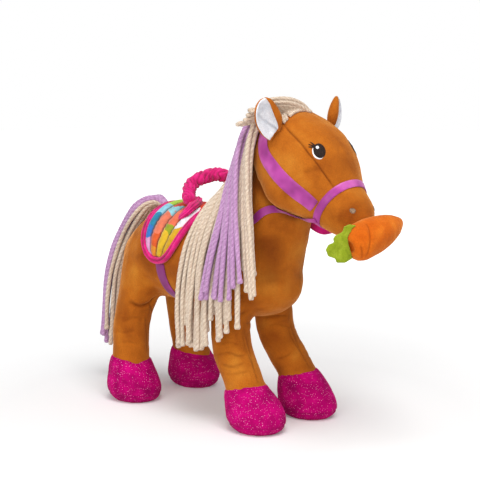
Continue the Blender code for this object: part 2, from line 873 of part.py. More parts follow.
def rein_line():
    """From the noseband's near side, under the cheek and round the neck to the far side."""
    start_angle = -rein_start_angle
    ring = head_point(noseband_station_share, start_angle)
    lift = head_normal(noseband_station_share, start_angle)
    start = ring + lift * (ribbon_lift + ribbon_thickness + 3 * gap)
    spots = [start]
    normals = [lift]
    front = neck_point(rein_neck_shares[0][1], -rein_touch_angle, ribbon_lift)
    out = unit(rein_out_shares)
    for t in rein_span_shares:
        loose = np.array((0.0, -rein_bulge, -rein_sag)) * math.sin(math.pi * t)
        spots.append(start + (front - start) * t + loose)
        normals.append(out)
    for t in np.linspace(0.0, 1.0, 8):
        angle = -rein_touch_angle * (1 - t)
        (share,) = row_at(rein_neck_shares, t)
        spots.append(neck_point(share, angle, ribbon_lift))
        normals.append(unit(neck_point(share, angle, gap) - neck_point(share, angle)))
    mirror = np.array((1.0, -1.0, 1.0))
    spots += [spot * mirror for spot in spots[-2::-1]]
    normals += [normal * mirror for normal in normals[-2::-1]]
    rows = smooth_path(np.column_stack([spots, normals]), 47)
    return rows[:, :3], rows[:, 3:]


# Saddle

lining_top = gap + saddle_lining_thickness
pad_bottom = lining_top + 2 * gap
pad_top = pad_bottom + saddle_thickness


def saddle_grid(inset, lift, rows, columns):
    """Rows round the barrel from tip to tip; lift is a height over the torso, or gives one."""
    half = saddle_width / 2 - inset
    arc = saddle_reach * (torso_depth + torso_width) / 4
    reach = saddle_reach * (arc - inset) / arc
    grid = []
    for turn in np.linspace(-1.0, 1.0, rows):
        around = saddle_tip_share * turn * (1 + saddle_crowding_share * (1 - turn * turn))
        width = (1 - abs(around) ** saddle_squareness) ** (1 / saddle_squareness)
        row = []
        for across in np.linspace(-1.0, 1.0, columns):
            height = lift(across, around, width) if callable(lift) else lift
            row.append(torso_point(saddle_x + across * half * width, around * reach, height))
        grid.append(row)
    return grid


def saddle_height(across, around, width):
    """Height of the quilted pad over the torso."""
    out = (abs(across * width) ** saddle_squareness + abs(around) ** saddle_squareness)
    inward = min(1.0, max(0.0, 1 - out ** (1 / saddle_squareness)) / saddle_round_share)
    crown = saddle_rim_share + (1 - saddle_rim_share) * math.sqrt(1 - (1 - inward) ** 2)
    ridge = abs(math.sin(math.pi * saddle_channels / 2 * (across + 1)))
    return pad_bottom + saddle_thickness * crown - saddle_channel_depth * (1 - ridge) * inward


def build_saddle():
    inset = piping_diameter / 2 + gap
    rows = 23
    sheet_solid("saddle_lining", saddle_grid(0.0, lining_top, rows, 5), saddle_grid(0.0, gap, rows, 5),
                ear_cloth_white)
    columns = 3 * saddle_channels + 1
    sheet_solid("saddle_pad", saddle_grid(inset, saddle_height, rows, columns),
                saddle_grid(inset, pad_bottom, rows, columns), saddle_cloth)
    path = []
    count = 44
    for n in range(count):
        around, along = section(2 * math.pi * n / count, 1.0, 1.0, saddle_squareness)
        path.append(torso_point(saddle_x + along * saddle_width / 2, around * saddle_reach,
                                pad_bottom + piping_diameter / 2))
    path = np.array(path)
    ahead = np.roll(path, -1, axis=0) - np.roll(path, 1, axis=0)
    rings = []
    for point, tangent in zip(path, ahead):
        tangent = unit(tangent)
        out = point - np.array((point[0], 0.0, torso_axis_height))
        out = unit(out - np.dot(out, tangent) * tangent)
        side = np.cross(tangent, out)
        rings.append(np.array([
            point + (side * math.cos(turn) + out * math.sin(turn)) * piping_diameter / 2
            for turn in np.linspace(0.0, 2 * math.pi, 7)[:-1]
        ]))
    loft("saddle_piping", rings, piping_cloth, looped=True)


def build_girth():
    centres = []
    normals = []
    reach = saddle_reach + girth_seam_turn
    for angle in np.linspace(reach, 2 * math.pi - reach, 25):
        centre = torso_point(saddle_x, angle, gap)
        centres.append(centre)
        normals.append(unit(torso_point(saddle_x, angle, gap + ribbon_thickness) - centre))
    ribbon("girth", centres, normals, girth_width, satin)


# Handle

handle_end_radius = handle_diameter / 2 * handle_end_share
handle_reach = handle_end_radius + handle_ruffle_depth / 2


def ball_cutter(name, centre, radius, sides=16):
    """A cutter whose facets all lie outside the ball."""
    radius = radius / math.cos(math.pi / sides) ** 2
    rings = []
    for turn in np.linspace(-math.pi / 2, math.pi / 2, sides // 2 + 1)[1:-1]:
        across = radius * math.cos(turn)
        rings.append(np.array([
            centre + np.array((across * math.cos(way), across * math.sin(way), radius * math.sin(turn)))
            for way in np.linspace(0.0, 2 * math.pi, sides + 1)[:-1]
        ]))
    return cutter(name, rings)


def handle_seat(angle):
    return torso_point(handle_seat_x, angle, pad_top + 2 * gap + handle_reach)


def handle_path(count):
    near = handle_seat(-handle_near_angle)
    far = handle_seat(handle_far_angle)
    spots = []
    for across, forward, up in handle_arch_shares:
        offset = np.array((forward, 0.0, up)) * handle_rise
        spots.append(near + (far - near) * across + offset)
    return smooth_path(spots, count)


def handle_rings(path, radii, sides, end_depth, end_radius):
    """Rings along the arch, and one more past each seat."""
    start = unit(path[0] - path[1])
    finish = unit(path[-1] - path[-2])
    path = np.array([path[0] + start * end_depth, *path, path[-1] + finish * end_depth])
    radii = [end_radius, *radii, end_radius]
    return tube_rings(path, np.array((1.0, 0.0, 0.0)), radii, radii, sides)


def build_handle():
    sides = 10
    count = 2 * handle_ruffles + 1
    radii = []
    for k, s in enumerate(np.linspace(0.0, 1.0, count)):
        swell = min(1.0, min(s, 1 - s) / handle_swell_share)
        middle = handle_end_radius + (handle_diameter / 2 - handle_end_radius) * swell
        radii.append(middle - handle_ruffle_depth / 2 * (-1) ** k)
    end_depth = handle_end_radius * math.sin(handle_end_turn)
    end_radius = handle_end_radius * math.cos(handle_end_turn)
    outer = handle_rings(handle_path(count), radii, sides, end_depth, end_radius)
    bore = handle_end_radius - handle_wall
    few = handle_ruffles // 2 + 1
    inner = handle_rings(handle_path(few), [bore] * few, sides, end_depth, bore)
    seat = handle_seat(-handle_near_angle)
    loft("handle_sleeve", outer + inner[::-1], piping_cloth, looped=True, pivot=seat)
    core = bore - gap
    loft("handle_core", handle_rings(handle_path(few), [core] * few, sides, end_depth,
                                     core * handle_core_tip_share), stuffing, pivot=seat)
    for hand, angle in (("right", -handle_near_angle), ("left", handle_far_angle)):
        side = math.copysign(1.0, angle)
        ball = ball_cutter("handle_ball_" + hand, handle_seat(angle), handle_end_radius + gap)
        path = []
        wide = []
        thick = []
        for t in np.linspace(0.0, 1.0, 8):
            near_tip = max(0.0, 1 - t / handle_tuck_tip_end_share)
            full = 1 - (1 - handle_tuck_tip_share) * near_tip ** 2
            end_half = handle_tuck_share * handle_end_radius
            half_thick = (handle_foot_thickness / 2 * (1 - t) + end_half * t) * full
            half_wide = (handle_foot_width / 2 * (1 - t) + end_half * t) * full
            x = handle_foot_x + (handle_seat_x - handle_foot_x) * t
            lie = pad_top + gap - handle_sink_share * saddle_channel_depth * (1 - t)
            path.append(torso_point(x, angle + side * handle_foot_turn * (1 - t), lie + half_thick))
            wide.append(half_wide)
            thick.append(half_thick)
        tuck = loft("handle_tuck_" + hand,
                    tube_rings(np.array(path), np.array((1.0, 0.0, 0.0)), wide, thick, 12), piping_cloth)
        cut(tuck, ball)


# Mane


def mane_point(u, t, lift=0.0):
    """A point of the mane: u runs along the crest and t down the fall; lift is outwards."""
    def flat(u, t):
        guides = (mane_rear_shares, mane_middle_shares, mane_front_shares)
        forward, right, up = row_at(
            [(key, *row_at(guide, t)) for key, guide in zip((0.0, 0.5, 1.0), guides)], u)
        height = torso_axis_height - mane_hang + up * mane_top
        return np.array((forward * mane_spread, -right * mane_reach, height))

    if not lift:
        return flat(u, t)
    step = 2 * probe_share
    along = flat(min(u + step, 1.0), t) - flat(max(u - step, 0.0), t)
    down = flat(u, min(t + step, 1.0)) - flat(u, max(t - step, 0.0))
    return flat(u, t) + unit(np.cross(down, along)) * lift


def build_mane(keepouts):
    shares = np.linspace(mane_tape_low_share, mane_tape_high_share, 9)
    centres = [neck_point(share, 0.0, gap) for share in shares]
    normals = [neck_point(share, 0.0, gap) - neck_point(share, 0.0) for share in shares]
    tape = ribbon("mane_tape", centres, normals, mane_tape_width, plush, thickness=mane_tape_thickness)
    cut(tape, keepouts[0])
    columns = 7
    for name, start, end, fall, layer, yarn in mane_lock_shares:
        outer = []
        inner = []
        for t in [*np.arange(0.0, fall - mane_step_share / 2, mane_step_share), fall]:
            (full,) = row_at(mane_fullness_shares, t / fall)
            row_out = []
            row_in = []
            for v in np.linspace(-1.0, 1.0, columns):
                u = (start + end) / 2 + (end - start) / 2 * v
                half = mane_lock_thickness / 2 * full * math.sqrt(1 - (mane_edge_share * v) ** 2)
                middle = layer * (mane_lock_thickness + mane_layer_gap)
                row_out.append(mane_point(u, t, middle + half))
                row_in.append(mane_point(u, t, middle - half))
            outer.append(row_out)
            inner.append(row_in)
        lock = sheet_solid(name, outer, inner, yarns[yarn], mane_point(0.0, 0.0))
        cut(lock, *keepouts)


def build_tuft(keepout):
    crown = head_point(tuft_station_share, 0.0)
    rows = np.array(tuft_shares)
    keys = np.linspace(0.0, 1.0, len(rows))
    table = np.column_stack([keys, rows])
    path = []
    wide = []
    thick = []
    for t in np.linspace(0.0, 1.0, 10):
        forward, right, up, half_wide, half_thick = row_at(table, t)
        path.append(crown + np.array((forward, -right, up)) * tuft_length)
        wide.append(half_wide * tuft_width)
        thick.append(half_thick * tuft_thickness)
    rings = tube_rings(np.array(path), np.array((1.0, 0.0, 0.0)), wide, thick, 12)
    tuft = loft("crown_tuft", rings, cream_yarn)
    cut(tuft, keepout)


# Tail


def tail_centre():
    return torso_point(tail_root_x, 0.0, gap + tail_knot_diameter / 2)


def build_tail():
    radius = tail_knot_diameter / 2
    centre = tail_centre()
    ball = ball_cutter("tail_ball", centre, radius + gap)
    sides = 12
    rings = []
    for turn in np.linspace(-math.pi / 2, math.pi / 2, 9)[1:-1]:
        across = radius * math.cos(turn)
        rings.append(np.array([
            centre + np.array((across * math.cos(way), radius * math.sin(turn), across * math.sin(way)))
            for way in np.linspace(0.0, 2 * math.pi, sides + 1)[:-1]
        ]))
    loft("tail_knot", rings, plush, pivot=centre)
    rows = np.array(tail_shares)
    path = centre + np.column_stack([
        -rows[:, 0] * tail_back, np.zeros(len(rows)), rows[:, 1] * tail_drop])
    samples = smooth_path(np.column_stack([path, rows[:, 2:]]), 15)
    path, wide, thick = samples[:, :3], samples[:, 3] * tail_width, samples[:, 4] * tail_lock_thickness
    tangents = np.gradient(path, axis=0)
    across = np.array((0.0, 1.0, 0.0))
    for name, side, finish in (("tail_lilac", 1, lilac_yarn), ("tail_cream", -1, cream_yarn)):
        middles = []
        for point, tangent, half in zip(path, tangents, thick):
            outward = unit(np.cross(across, unit(tangent)))
            outward *= math.copysign(1.0, outward[2] - outward[0])
            middles.append(point + outward * side * (half + gap))
        lock = loft(name, tube_rings(np.array(middles), across, wide, thick, 12, tail_squareness), finish,
                    pivot=centre)
        cut(lock, ball)


# Carrot

carrot_rise = math.sqrt(carrot_length ** 2 - carrot_tip_forward ** 2 - carrot_tip_rise ** 2)
carrot_along = unit((carrot_tip_forward, carrot_rise, carrot_tip_rise))
carrot_base = np.array((carrot_base_x, carrot_base_y, torso_axis_height + carrot_base_rise))


def carrot_ring(share, radius, sides):
    level = unit(np.cross(carrot_along, np.array((1.0, 0.0, 0.0))))
    ahead = np.cross(level, carrot_along)
    middle = carrot_base + carrot_along * carrot_length * share
    return np.array([
        middle + (level * math.cos(way) + ahead * math.sin(way)) * radius
        for way in np.linspace(0.0, 2 * math.pi, sides + 1)[:-1]
    ])


def carrot_radius(share):
    (size,) = row_at(carrot_shares, share)
    return size * carrot_diameter / 2


def build_carrot(head_keepout):
    cloth_share = carrot_cloth / carrot_length
    opening = carrot_opening_share * carrot_diameter / 2
    inner_shares = [*np.linspace(cloth_share, 5 * cloth_share, 5)[:-1],
                    *np.linspace(5 * cloth_share, 1 - 2 * cloth_share, 8)]
    hollow = [carrot_ring(-overrun / carrot_length, opening, 12),
              carrot_ring(cloth_share, opening, 12)]
    hollow += [carrot_ring(share + gap / carrot_length, carrot_radius(share) - carrot_cloth, 12)
               for share in inner_shares]
    skin = loft("carrot", [carrot_ring(share, carrot_radius(share), 16) for share in carrot_ring_shares],
                carrot_cloth_orange, pivot=carrot_base)
    cut(skin, cutter("carrot_hollow", hollow), head_keepout)
    fill = loft("stuffing_carrot", [carrot_ring(share + gap / carrot_length,
                                                carrot_radius(share) - carrot_cloth - gap, 12)
                                    for share in inner_shares[1:-1]], stuffing, pivot=carrot_base)
    cut(fill, head_keepout)
    keepout = cutter("carrot_keepout", [carrot_ring(share, carrot_radius(share) + gap, 16)
                                        for share in (-gap / carrot_length, *carrot_ring_shares[1:])])
    outward = np.array((-math.sin(leaf_turn), -math.cos(leaf_turn), 0.0))
    facing = np.array((math.cos(leaf_turn), -math.sin(leaf_turn), 0.0))
    points = []
    for side in (-1, 1):
        for out, up in leaf_outline_shares:
            spot = carrot_base + outward * (out * leaf_reach - leaf_tuck) + facing * side * leaf_thickness / 2
            points.append(spot + np.array((0.0, 0.0, leaf_rise + up * leaf_height)))
    count = len(leaf_outline_shares)
    faces = [tuple(range(count)), tuple(range(2 * count - 1, count - 1, -1))]
    for n in range(count):
        m = (n + 1) % count
        faces.append((n, m, count + m, count + n))
    leaf = mesh_object("carrot_leaf", points, faces, leaf_cloth, carrot_base)
    cut(leaf, keepout)


def stand_on_middle():
    """Moves everything so that the middle of its outer box is over the origin."""
    low = np.full(3, math.inf)
    high = -low
    for thing in bpy.data.objects:
        if thing.type == "MESH" and not thing.hide_render:
            for vertex in thing.data.vertices:
                low = np.minimum(low, vertex.co + thing.location)
                high = np.maximum(high, vertex.co + thing.location)
    stand.location = (-(low[0] + high[0]) / 2, -(low[1] + high[1]) / 2, 0.0)


clear_scene()
stand = bpy.data.objects.new("stand", None)
bpy.context.scene.collection.objects.link(stand)

plush = material("plush", plush_brown, 0.95)
hoof_cloth = material("hoof cloth", hoof_magenta, 0.55)
satin = material("satin ribbon", satin_orchid, 0.35)
piping_cloth = material("piping cloth", piping_pink, 0.75)
cream_yarn = material("cream yarn", yarn_cream, 0.95)
lilac_yarn = material("lilac yarn", yarn_lilac, 0.95)
yarns = {"cream": cream_yarn, "lilac": lilac_yarn}
ear_cloth_white = material("ear lining", lining_white, 0.95)
stuffing = material("stuffing", fill_white, 1.0)
saddle_cloth = material("quilted print", saddle_print, 0.85)
eye_thread = material("eye thread", thread_brown, 0.5)
nostril_thread = material("nostril thread", thread_grey, 0.7)
carrot_cloth_orange = material("carrot cloth", carrot_orange, 0.9)
leaf_cloth = material("leaf cloth", leaf_green, 0.9)

torso_keepout = cutter("torso_keepout", torso_rings(gap, 22, 6, 5))
torso_hollow = cutter("torso_hollow", torso_rings(-plush_wall, 14, 4, 3))
neck_keepout = cutter("neck_keepout", neck_rings(gap, 20, 8))
neck_hollow = cutter("neck_hollow", neck_rings(-plush_wall, 12, 5))
head_keepout = cutter("head_keepout", head_rings(gap, 22, 10, 5))
head_hollow = cutter("head_hollow", head_rings(-plush_wall, 14, 4, 3))

torso = loft("torso", torso_rings(0.0, 22, 6, 5), plush)
cut(torso, torso_hollow, neck_hollow)
torso_fill = loft("stuffing_torso", torso_rings(-plush_wall - gap, 14, 4, 3), stuffing)

neck = loft("neck", neck_rings(0.0, 20, 8), plush)
cut(neck, neck_hollow, torso_keepout, head_keepout)
neck_fill = loft("stuffing_neck", neck_rings(-plush_wall - gap, 12, 5)[1:], stuffing)
cut(neck_fill, torso_hollow, head_hollow)

head = loft("head", head_rings(0.0, 22, 10, 5), plush)
cut(head, head_hollow, neck_hollow)
head_fill = loft("stuffing_head", head_rings(-plush_wall - gap, 14, 4, 3), stuffing)

for ends, size in (("front", front_limb), ("rear", rear_limb)):
    for hand, side in (("left", 1), ("right", -1)):
        build_limb(ends + "_" + hand, size, side, torso_keepout)

for hand, side in (("left", 1), ("right", -1)):
    build_ear(hand, side)
    head_patch("eye_" + hand, eye_station_share, side * eye_angle, eye_width, eye_height, eye_thread)
    head_patch("nostril_" + hand, nostril_station_share, side * nostril_angle,
               nostril_width, nostril_height, nostril_thread)
build_bridle()
rein_path, rein_normals = rein_line()
ribbon("reins", rein_path, rein_normals, rein_ribbon_width, satin)
build_saddle()
build_girth()
build_handle()
build_mane((head_keepout, neck_keepout, torso_keepout))
# The headstall lies flat across its width, so its edges stand off the round head
headstall_height = 2 * gap + ribbon_thickness + cheek_ribbon_width ** 2 / (4 * head_depth)
build_tuft(cutter("headstall_keepout", head_rings(headstall_height, 22, 10, 5)))
build_tail()
build_carrot(head_keepout)
stand_on_middle()
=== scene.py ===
"""A plush horse with yarn mane and tail, satin tack, a quilted saddle and a soft carrot, on a pale floor."""
import math

import bmesh
import bpy
import numpy as np
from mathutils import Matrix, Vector, noise
from mathutils.bvhtree import BVHTree
from mathutils.kdtree import KDTree
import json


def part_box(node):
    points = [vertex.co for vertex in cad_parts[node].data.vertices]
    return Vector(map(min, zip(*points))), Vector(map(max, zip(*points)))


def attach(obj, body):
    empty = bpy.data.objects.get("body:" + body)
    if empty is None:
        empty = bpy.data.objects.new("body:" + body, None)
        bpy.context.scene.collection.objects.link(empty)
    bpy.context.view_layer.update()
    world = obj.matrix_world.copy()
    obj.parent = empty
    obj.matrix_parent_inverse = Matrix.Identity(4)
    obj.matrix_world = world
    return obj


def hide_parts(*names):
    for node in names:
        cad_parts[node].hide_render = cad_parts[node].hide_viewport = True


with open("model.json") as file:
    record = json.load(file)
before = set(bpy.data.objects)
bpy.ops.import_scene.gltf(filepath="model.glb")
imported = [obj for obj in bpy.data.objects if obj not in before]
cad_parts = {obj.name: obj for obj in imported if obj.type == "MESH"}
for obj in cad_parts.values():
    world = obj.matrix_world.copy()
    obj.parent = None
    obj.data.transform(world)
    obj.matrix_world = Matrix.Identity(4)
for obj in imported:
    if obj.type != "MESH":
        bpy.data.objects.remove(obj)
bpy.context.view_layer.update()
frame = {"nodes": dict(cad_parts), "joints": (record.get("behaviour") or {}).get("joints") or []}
cad = frame["nodes"]
scene = bpy.context.scene
MM = 0.001

# The horse was drawn about its girth, and then moved so that its outer box stands over the origin
SHIFT = np.array((-18.28, 0.47, 0.0)) * MM
MIDDLE_Y = SHIFT[1]
# The height of the trunk's axis, round which the saddle lies
AXIS_Z = 160 * MM


def mirrored(points):
    """Places of the near side, moved to the far one."""
    return np.array(points) * (1, -1, 1) + (0, 2 * MIDDLE_Y, 0)

# ------------------------------------------------------------------ camera

CAMERA_PLACE = np.array((878.9, -884.2, 348.0)) * MM
CAMERA_TURN = math.radians(44.5)
CAMERA_DROP = math.radians(7.59)
LENS, SENSOR, PICTURE = 90.0, 36.0, 480


def make_camera():
    data = bpy.data.cameras.new("camera")
    data.lens, data.sensor_width = LENS, SENSOR
    data.clip_start, data.clip_end = 0.05, 50.0
    made = bpy.data.objects.new("camera", data)
    made.location = CAMERA_PLACE
    made.rotation_euler = (math.pi / 2 - CAMERA_DROP, 0.0, CAMERA_TURN)
    scene.collection.objects.link(made)
    scene.camera = made


VIEW_AHEAD = np.array((-math.sin(CAMERA_TURN) * math.cos(CAMERA_DROP),
                       math.cos(CAMERA_TURN) * math.cos(CAMERA_DROP), -math.sin(CAMERA_DROP)))
VIEW_RIGHT = np.array((math.cos(CAMERA_TURN), math.sin(CAMERA_TURN), 0.0))
VIEW_UP = np.cross(VIEW_RIGHT, VIEW_AHEAD)


def sight(px, py):
    """Direction from the camera through a pixel of the photograph's frame."""
    scale = SENSOR / LENS / PICTURE
    ray = VIEW_AHEAD + VIEW_RIGHT * (px - PICTURE / 2) * scale - VIEW_UP * (py - PICTURE / 2) * scale
    return ray / np.linalg.norm(ray)


make_camera()

# ------------------------------------------------------------------ materials


def linear(code):
    """A linear colour from an sRGB hex code."""
    parts = [int(code[k:k + 2], 16) / 255 for k in (1, 3, 5)]
    return tuple(c / 12.92 if c <= 0.04045 else ((c + 0.055) / 1.055) ** 2.4 for c in parts) + (1.0,)


def per_mm(size):
    """Noise scale for features of a size in millimetres."""
    return 1 / (size * MM)


def first_output(node):
    return next(socket for socket in node.outputs if socket.enabled)


def add(tree, kind, inputs=None, to=None, stops=None, **settings):
    """Adds one node with its settings. An input is a value, or a node or a socket that is linked to
    it; the node itself is linked to the shader's input that is named."""
    made = tree.nodes.new("ShaderNode" + kind)
    for name, value in settings.items():
        setattr(made, name, value)
    for name, value in (inputs or {}).items():
        if isinstance(value, bpy.types.Node):
            value = first_output(value)
        if isinstance(value, bpy.types.NodeSocket):
            tree.links.new(value, made.inputs[name])
        else:
            made.inputs[name].default_value = value
    if stops:
        ramp = made.color_ramp
        while len(ramp.elements) < len(stops):
            ramp.elements.new(0.5)
        for element, (place, colour) in zip(ramp.elements, stops):
            element.position, element.color = place, linear(colour)
    if to:
        tree.links.new(first_output(made), tree.nodes["Principled BSDF"].inputs[to])
    return made


def new_material(name, **values):
    """A material with its shader's own values set, its tree, and the place on the object."""
    made = bpy.data.materials.new(name)
    made.use_nodes = True
    for key, value in values.items():
        made.node_tree.nodes["Principled BSDF"].inputs[key.replace("_", " ")].default_value = value
    return made, made.node_tree, add(made.node_tree, "TexCoord").outputs["Object"]


def plush_material(name, dark, mid, light, seam_shade, nap=34.0, tint="#FFB870"):
    # Short polyester pile, brushed: matt, with paler patches where the nap lies over, a bright
    # rim at grazing angles, and painted shade: a dark line along each seam where it pulls the cloth in, and
    # along each fold
    made, tree, place = new_material(name, Roughness=0.95, Sheen_Weight=0.8, Sheen_Roughness=0.36,
                                     Sheen_Tint=linear(tint), Specular_IOR_Level=0.12)
    patches = add(tree, "TexNoise", {"Vector": place, "Scale": per_mm(nap), "Detail": 3.0,
                                     "Distortion": 0.25})
    tone = add(tree, "ValToRGB", {"Fac": patches}, stops=[(0.26, dark), (0.50, mid), (0.76, light)])
    tufts = add(tree, "TexNoise", {"Vector": place, "Scale": per_mm(1.1), "Detail": 3.0, "Roughness": 0.7})
    speck = add(tree, "MapRange", {"Value": tufts, "From Min": 0.3, "From Max": 0.7,
                                   "To Min": 0.84, "To Max": 1.12})
    mottled = add(tree, "Mix", {0: 1.0, 6: tone, 7: speck}, data_type="RGBA", blend_type="MULTIPLY")
    fold_shade = add(tree, "Attribute", attribute_name="fold_shade").outputs["Fac"]
    # Painted shade: the darkest colour is mixed in along seams and folds
    add(tree, "Mix", {0: fold_shade, 6: mottled, 7: linear(seam_shade)}, "Base Color", data_type="RGBA")
    coarse = add(tree, "TexNoise", {"Vector": place, "Scale": per_mm(4.0), "Detail": 3.0})
    height = add(tree, "Math", {0: tufts, 1: 0.55, 2: coarse}, operation="MULTIPLY_ADD")
    add(tree, "Bump", {"Height": height, "Strength": 0.55, "Distance": 0.8 * MM}, "Normal")
    return made


def yarn_material(name, dark, mid, light):
    # Brushed acrylic yarn: soft plies with a fuzzy surface, with painted shade between the plies
    made, tree, place = new_material(name, Roughness=0.95, Sheen_Weight=0.35, Sheen_Roughness=0.5,
                                     Specular_IOR_Level=0.15)
    fibre = add(tree, "Attribute", attribute_name="fibre").outputs["Vector"]
    streaks = add(tree, "TexNoise", {"Vector": fibre, "Scale": 2.6, "Detail": 4.0, "Roughness": 0.65})
    ply = add(tree, "Attribute", attribute_name="ply").outputs["Fac"]
    mixed = add(tree, "Math", {0: streaks, 1: 0.9, 2: ply}, operation="MULTIPLY_ADD")
    add(tree, "ValToRGB", {"Fac": mixed}, "Base Color", [(0.30, dark), (0.70, mid), (1.0, light)])
    fuzz = add(tree, "TexNoise", {"Vector": place, "Scale": per_mm(0.9)})
    height = add(tree, "Math", {0: fuzz, 1: streaks})
    add(tree, "Bump", {"Height": height, "Strength": 0.6, "Distance": 0.5 * MM}, "Normal")
    return made


def satin_material(name, dark, mid, light, loose_underside):
    # Woven satin ribbon: smooth floats that give a soft bright band, over a fine weave; where the
    # rein hangs loose, its underside is coloured a more saturated hot pink
    made, tree, place = new_material(name, Roughness=0.40, Sheen_Weight=0.15,
                                     Specular_IOR_Level=0.32, Anisotropic=0.55)
    drift = add(tree, "TexNoise", {"Vector": place, "Scale": per_mm(24.0)})
    # Painted shade and light: the colour darkens lower down the ribbon and lightens higher up, standing in
    # for the ribbon turning from the light as it runs down
    parts = add(tree, "SeparateXYZ", {"Vector": place})
    height = add(tree, "MapRange", {"Value": parts.outputs["Z"], "From Min": 0.205, "From Max": 0.275,
                                    "To Min": -0.14, "To Max": 0.14})
    drift_and_painted_shade = add(tree, "Math", {0: drift, 1: height})
    tone = add(tree, "ValToRGB", {"Fac": drift_and_painted_shade}, stops=[(0.32, dark), (0.52, mid), (0.72, light)])
    back = add(tree, "Attribute", attribute_name="loose_underside").outputs["Fac"]
    add(tree, "Mix", {0: back, 6: tone, 7: linear(loose_underside)}, "Base Color", data_type="RGBA")
    # The real threads lie 0.1 mm apart, drawn here at 0.8 mm so that they show
    weave = add(tree, "TexNoise", {"Vector": place, "Scale": per_mm(0.8)})
    add(tree, "Bump", {"Height": weave, "Strength": 0.12, "Distance": 0.2 * MM}, "Normal")
    return made


def cloth_material(name, dark, mid, light):
    # Soft woven cotton blend: matt, with painted shade in each fold, so that its crown looks a little lighter
    made, tree, place = new_material(name, Roughness=0.8, Sheen_Weight=0.25, Specular_IOR_Level=0.3)
    weave = add(tree, "TexNoise", {"Vector": place, "Scale": per_mm(0.9), "Roughness": 0.6})
    drift = add(tree, "TexNoise", {"Vector": place, "Scale": per_mm(9.0), "Detail": 3.0})
    fold_shade = add(tree, "Attribute", attribute_name="fold_shade").outputs["Fac"]
    worn = add(tree, "Math", {0: weave, 1: 0.45, 2: drift}, operation="MULTIPLY_ADD")
    lower = add(tree, "Math", {0: worn, 1: fold_shade}, operation="SUBTRACT")
    add(tree, "ValToRGB", {"Fac": lower}, "Base Color", [(0.30, dark), (0.66, mid), (0.98, light)])
    add(tree, "Bump", {"Height": weave, "Strength": 0.35, "Distance": 0.4 * MM}, "Normal")
    return made


def glitter_material(name):
    # Pile cloth with bonded glitter flakes: deep magenta, with white and silver flakes whose sparkle is
    # painted as pale points of random brightness
    made, tree, place = new_material(name, Sheen_Weight=0.25, Sheen_Roughness=0.4,
                                     Sheen_Tint=linear("#FF2A98"), Specular_IOR_Level=0.08)
    drift = add(tree, "TexNoise", {"Vector": place, "Scale": per_mm(14.0), "Detail": 3.0})
    tone = add(tree, "ValToRGB", {"Fac": drift},
               stops=[(0.30, "#8E0050"), (0.52, "#B20064"), (0.74, "#CC0678")])
    # Painted shade in the sole seam's groove
    fold_shade = add(tree, "Attribute", attribute_name="fold_shade").outputs["Fac"]
    base = add(tree, "Mix", {0: fold_shade, 6: tone, 7: linear("#7C0848")}, data_type="RGBA")
    # Flakes are 0.2 mm across, drawn here at about 0.5 mm so that they show
    flakes = add(tree, "TexVoronoi", {"Vector": place, "Scale": per_mm(1.3)})
    near = add(tree, "Math", {0: flakes, 1: 0.24}, operation="LESS_THAN")
    chance = add(tree, "SeparateColor", {"Color": flakes.outputs["Color"]})
    chosen = add(tree, "Math", {0: chance, 1: 0.5}, operation="GREATER_THAN")
    lit = add(tree, "Math", {0: near, 1: chosen}, operation="MULTIPLY")
    # The flakes' glint is painted: chosen flakes get a pale colour, brighter at random
    glow = add(tree, "Math", {0: lit, 1: chance.outputs[1]}, operation="MULTIPLY")
    add(tree, "Mix", {0: glow, 6: base, 7: linear("#FFA8D4")}, "Base Color", data_type="RGBA")
    add(tree, "MapRange", {"Value": lit, "To Min": 0.85, "To Max": 0.35}, "Roughness")
    pile = add(tree, "TexNoise", {"Vector": place, "Scale": per_mm(1.0)})
    add(tree, "Bump", {"Height": pile, "Strength": 0.5, "Distance": 0.5 * MM}, "Normal")
    return made


def print_material(name):
    # Cotton printed in bright patches, one row to each quilted channel, with painted shade in the stitched
    # valleys
    made, tree, place = new_material(name, Roughness=0.8, Sheen_Weight=0.2, Specular_IOR_Level=0.3)
    wobble = add(tree, "TexNoise", {"Vector": place, "Scale": per_mm(12.0), "Detail": 1.0})
    spot = add(tree, "Attribute", attribute_name="quilt").outputs["Vector"]
    across, lengthwise, _ = add(tree, "SeparateXYZ", {"Vector": spot}).outputs
    along = add(tree, "Math", {0: wobble, 1: 0.16, 2: lengthwise}, operation="MULTIPLY_ADD")
    rows = [add(tree, "ValToRGB", {"Fac": along}, stops=stops) for stops in QUILT_ROWS]
    for row in rows:
        row.color_ramp.interpolation = "CONSTANT"
    colour = rows[0]
    for k, row in enumerate(rows[1:]):
        past = add(tree, "Math", {0: across, 1: (k + 1) / len(rows)}, operation="GREATER_THAN")
        colour = add(tree, "Mix", {0: past, 6: colour, 7: row}, data_type="RGBA")
    worn = add(tree, "TexNoise", {"Vector": place, "Scale": per_mm(5.0), "Detail": 4.0})
    fade = add(tree, "MapRange", {"Value": worn, "From Min": 0.3, "From Max": 0.7,
                                  "To Min": 0.72, "To Max": 0.96})
    faded = add(tree, "Mix", {0: 1.0, 6: colour, 7: fade}, data_type="RGBA", blend_type="MULTIPLY")
    # Painted shade in the quilting valleys
    fold_shade = add(tree, "Attribute", attribute_name="fold_shade").outputs["Fac"]
    add(tree, "Mix", {0: fold_shade, 6: faded, 7: linear("#4A2A20")}, "Base Color", data_type="RGBA")
    weave = add(tree, "TexNoise", {"Vector": place, "Scale": per_mm(0.8)})
    add(tree, "Bump", {"Height": weave, "Strength": 0.3, "Distance": 0.3 * MM}, "Normal")
    return made


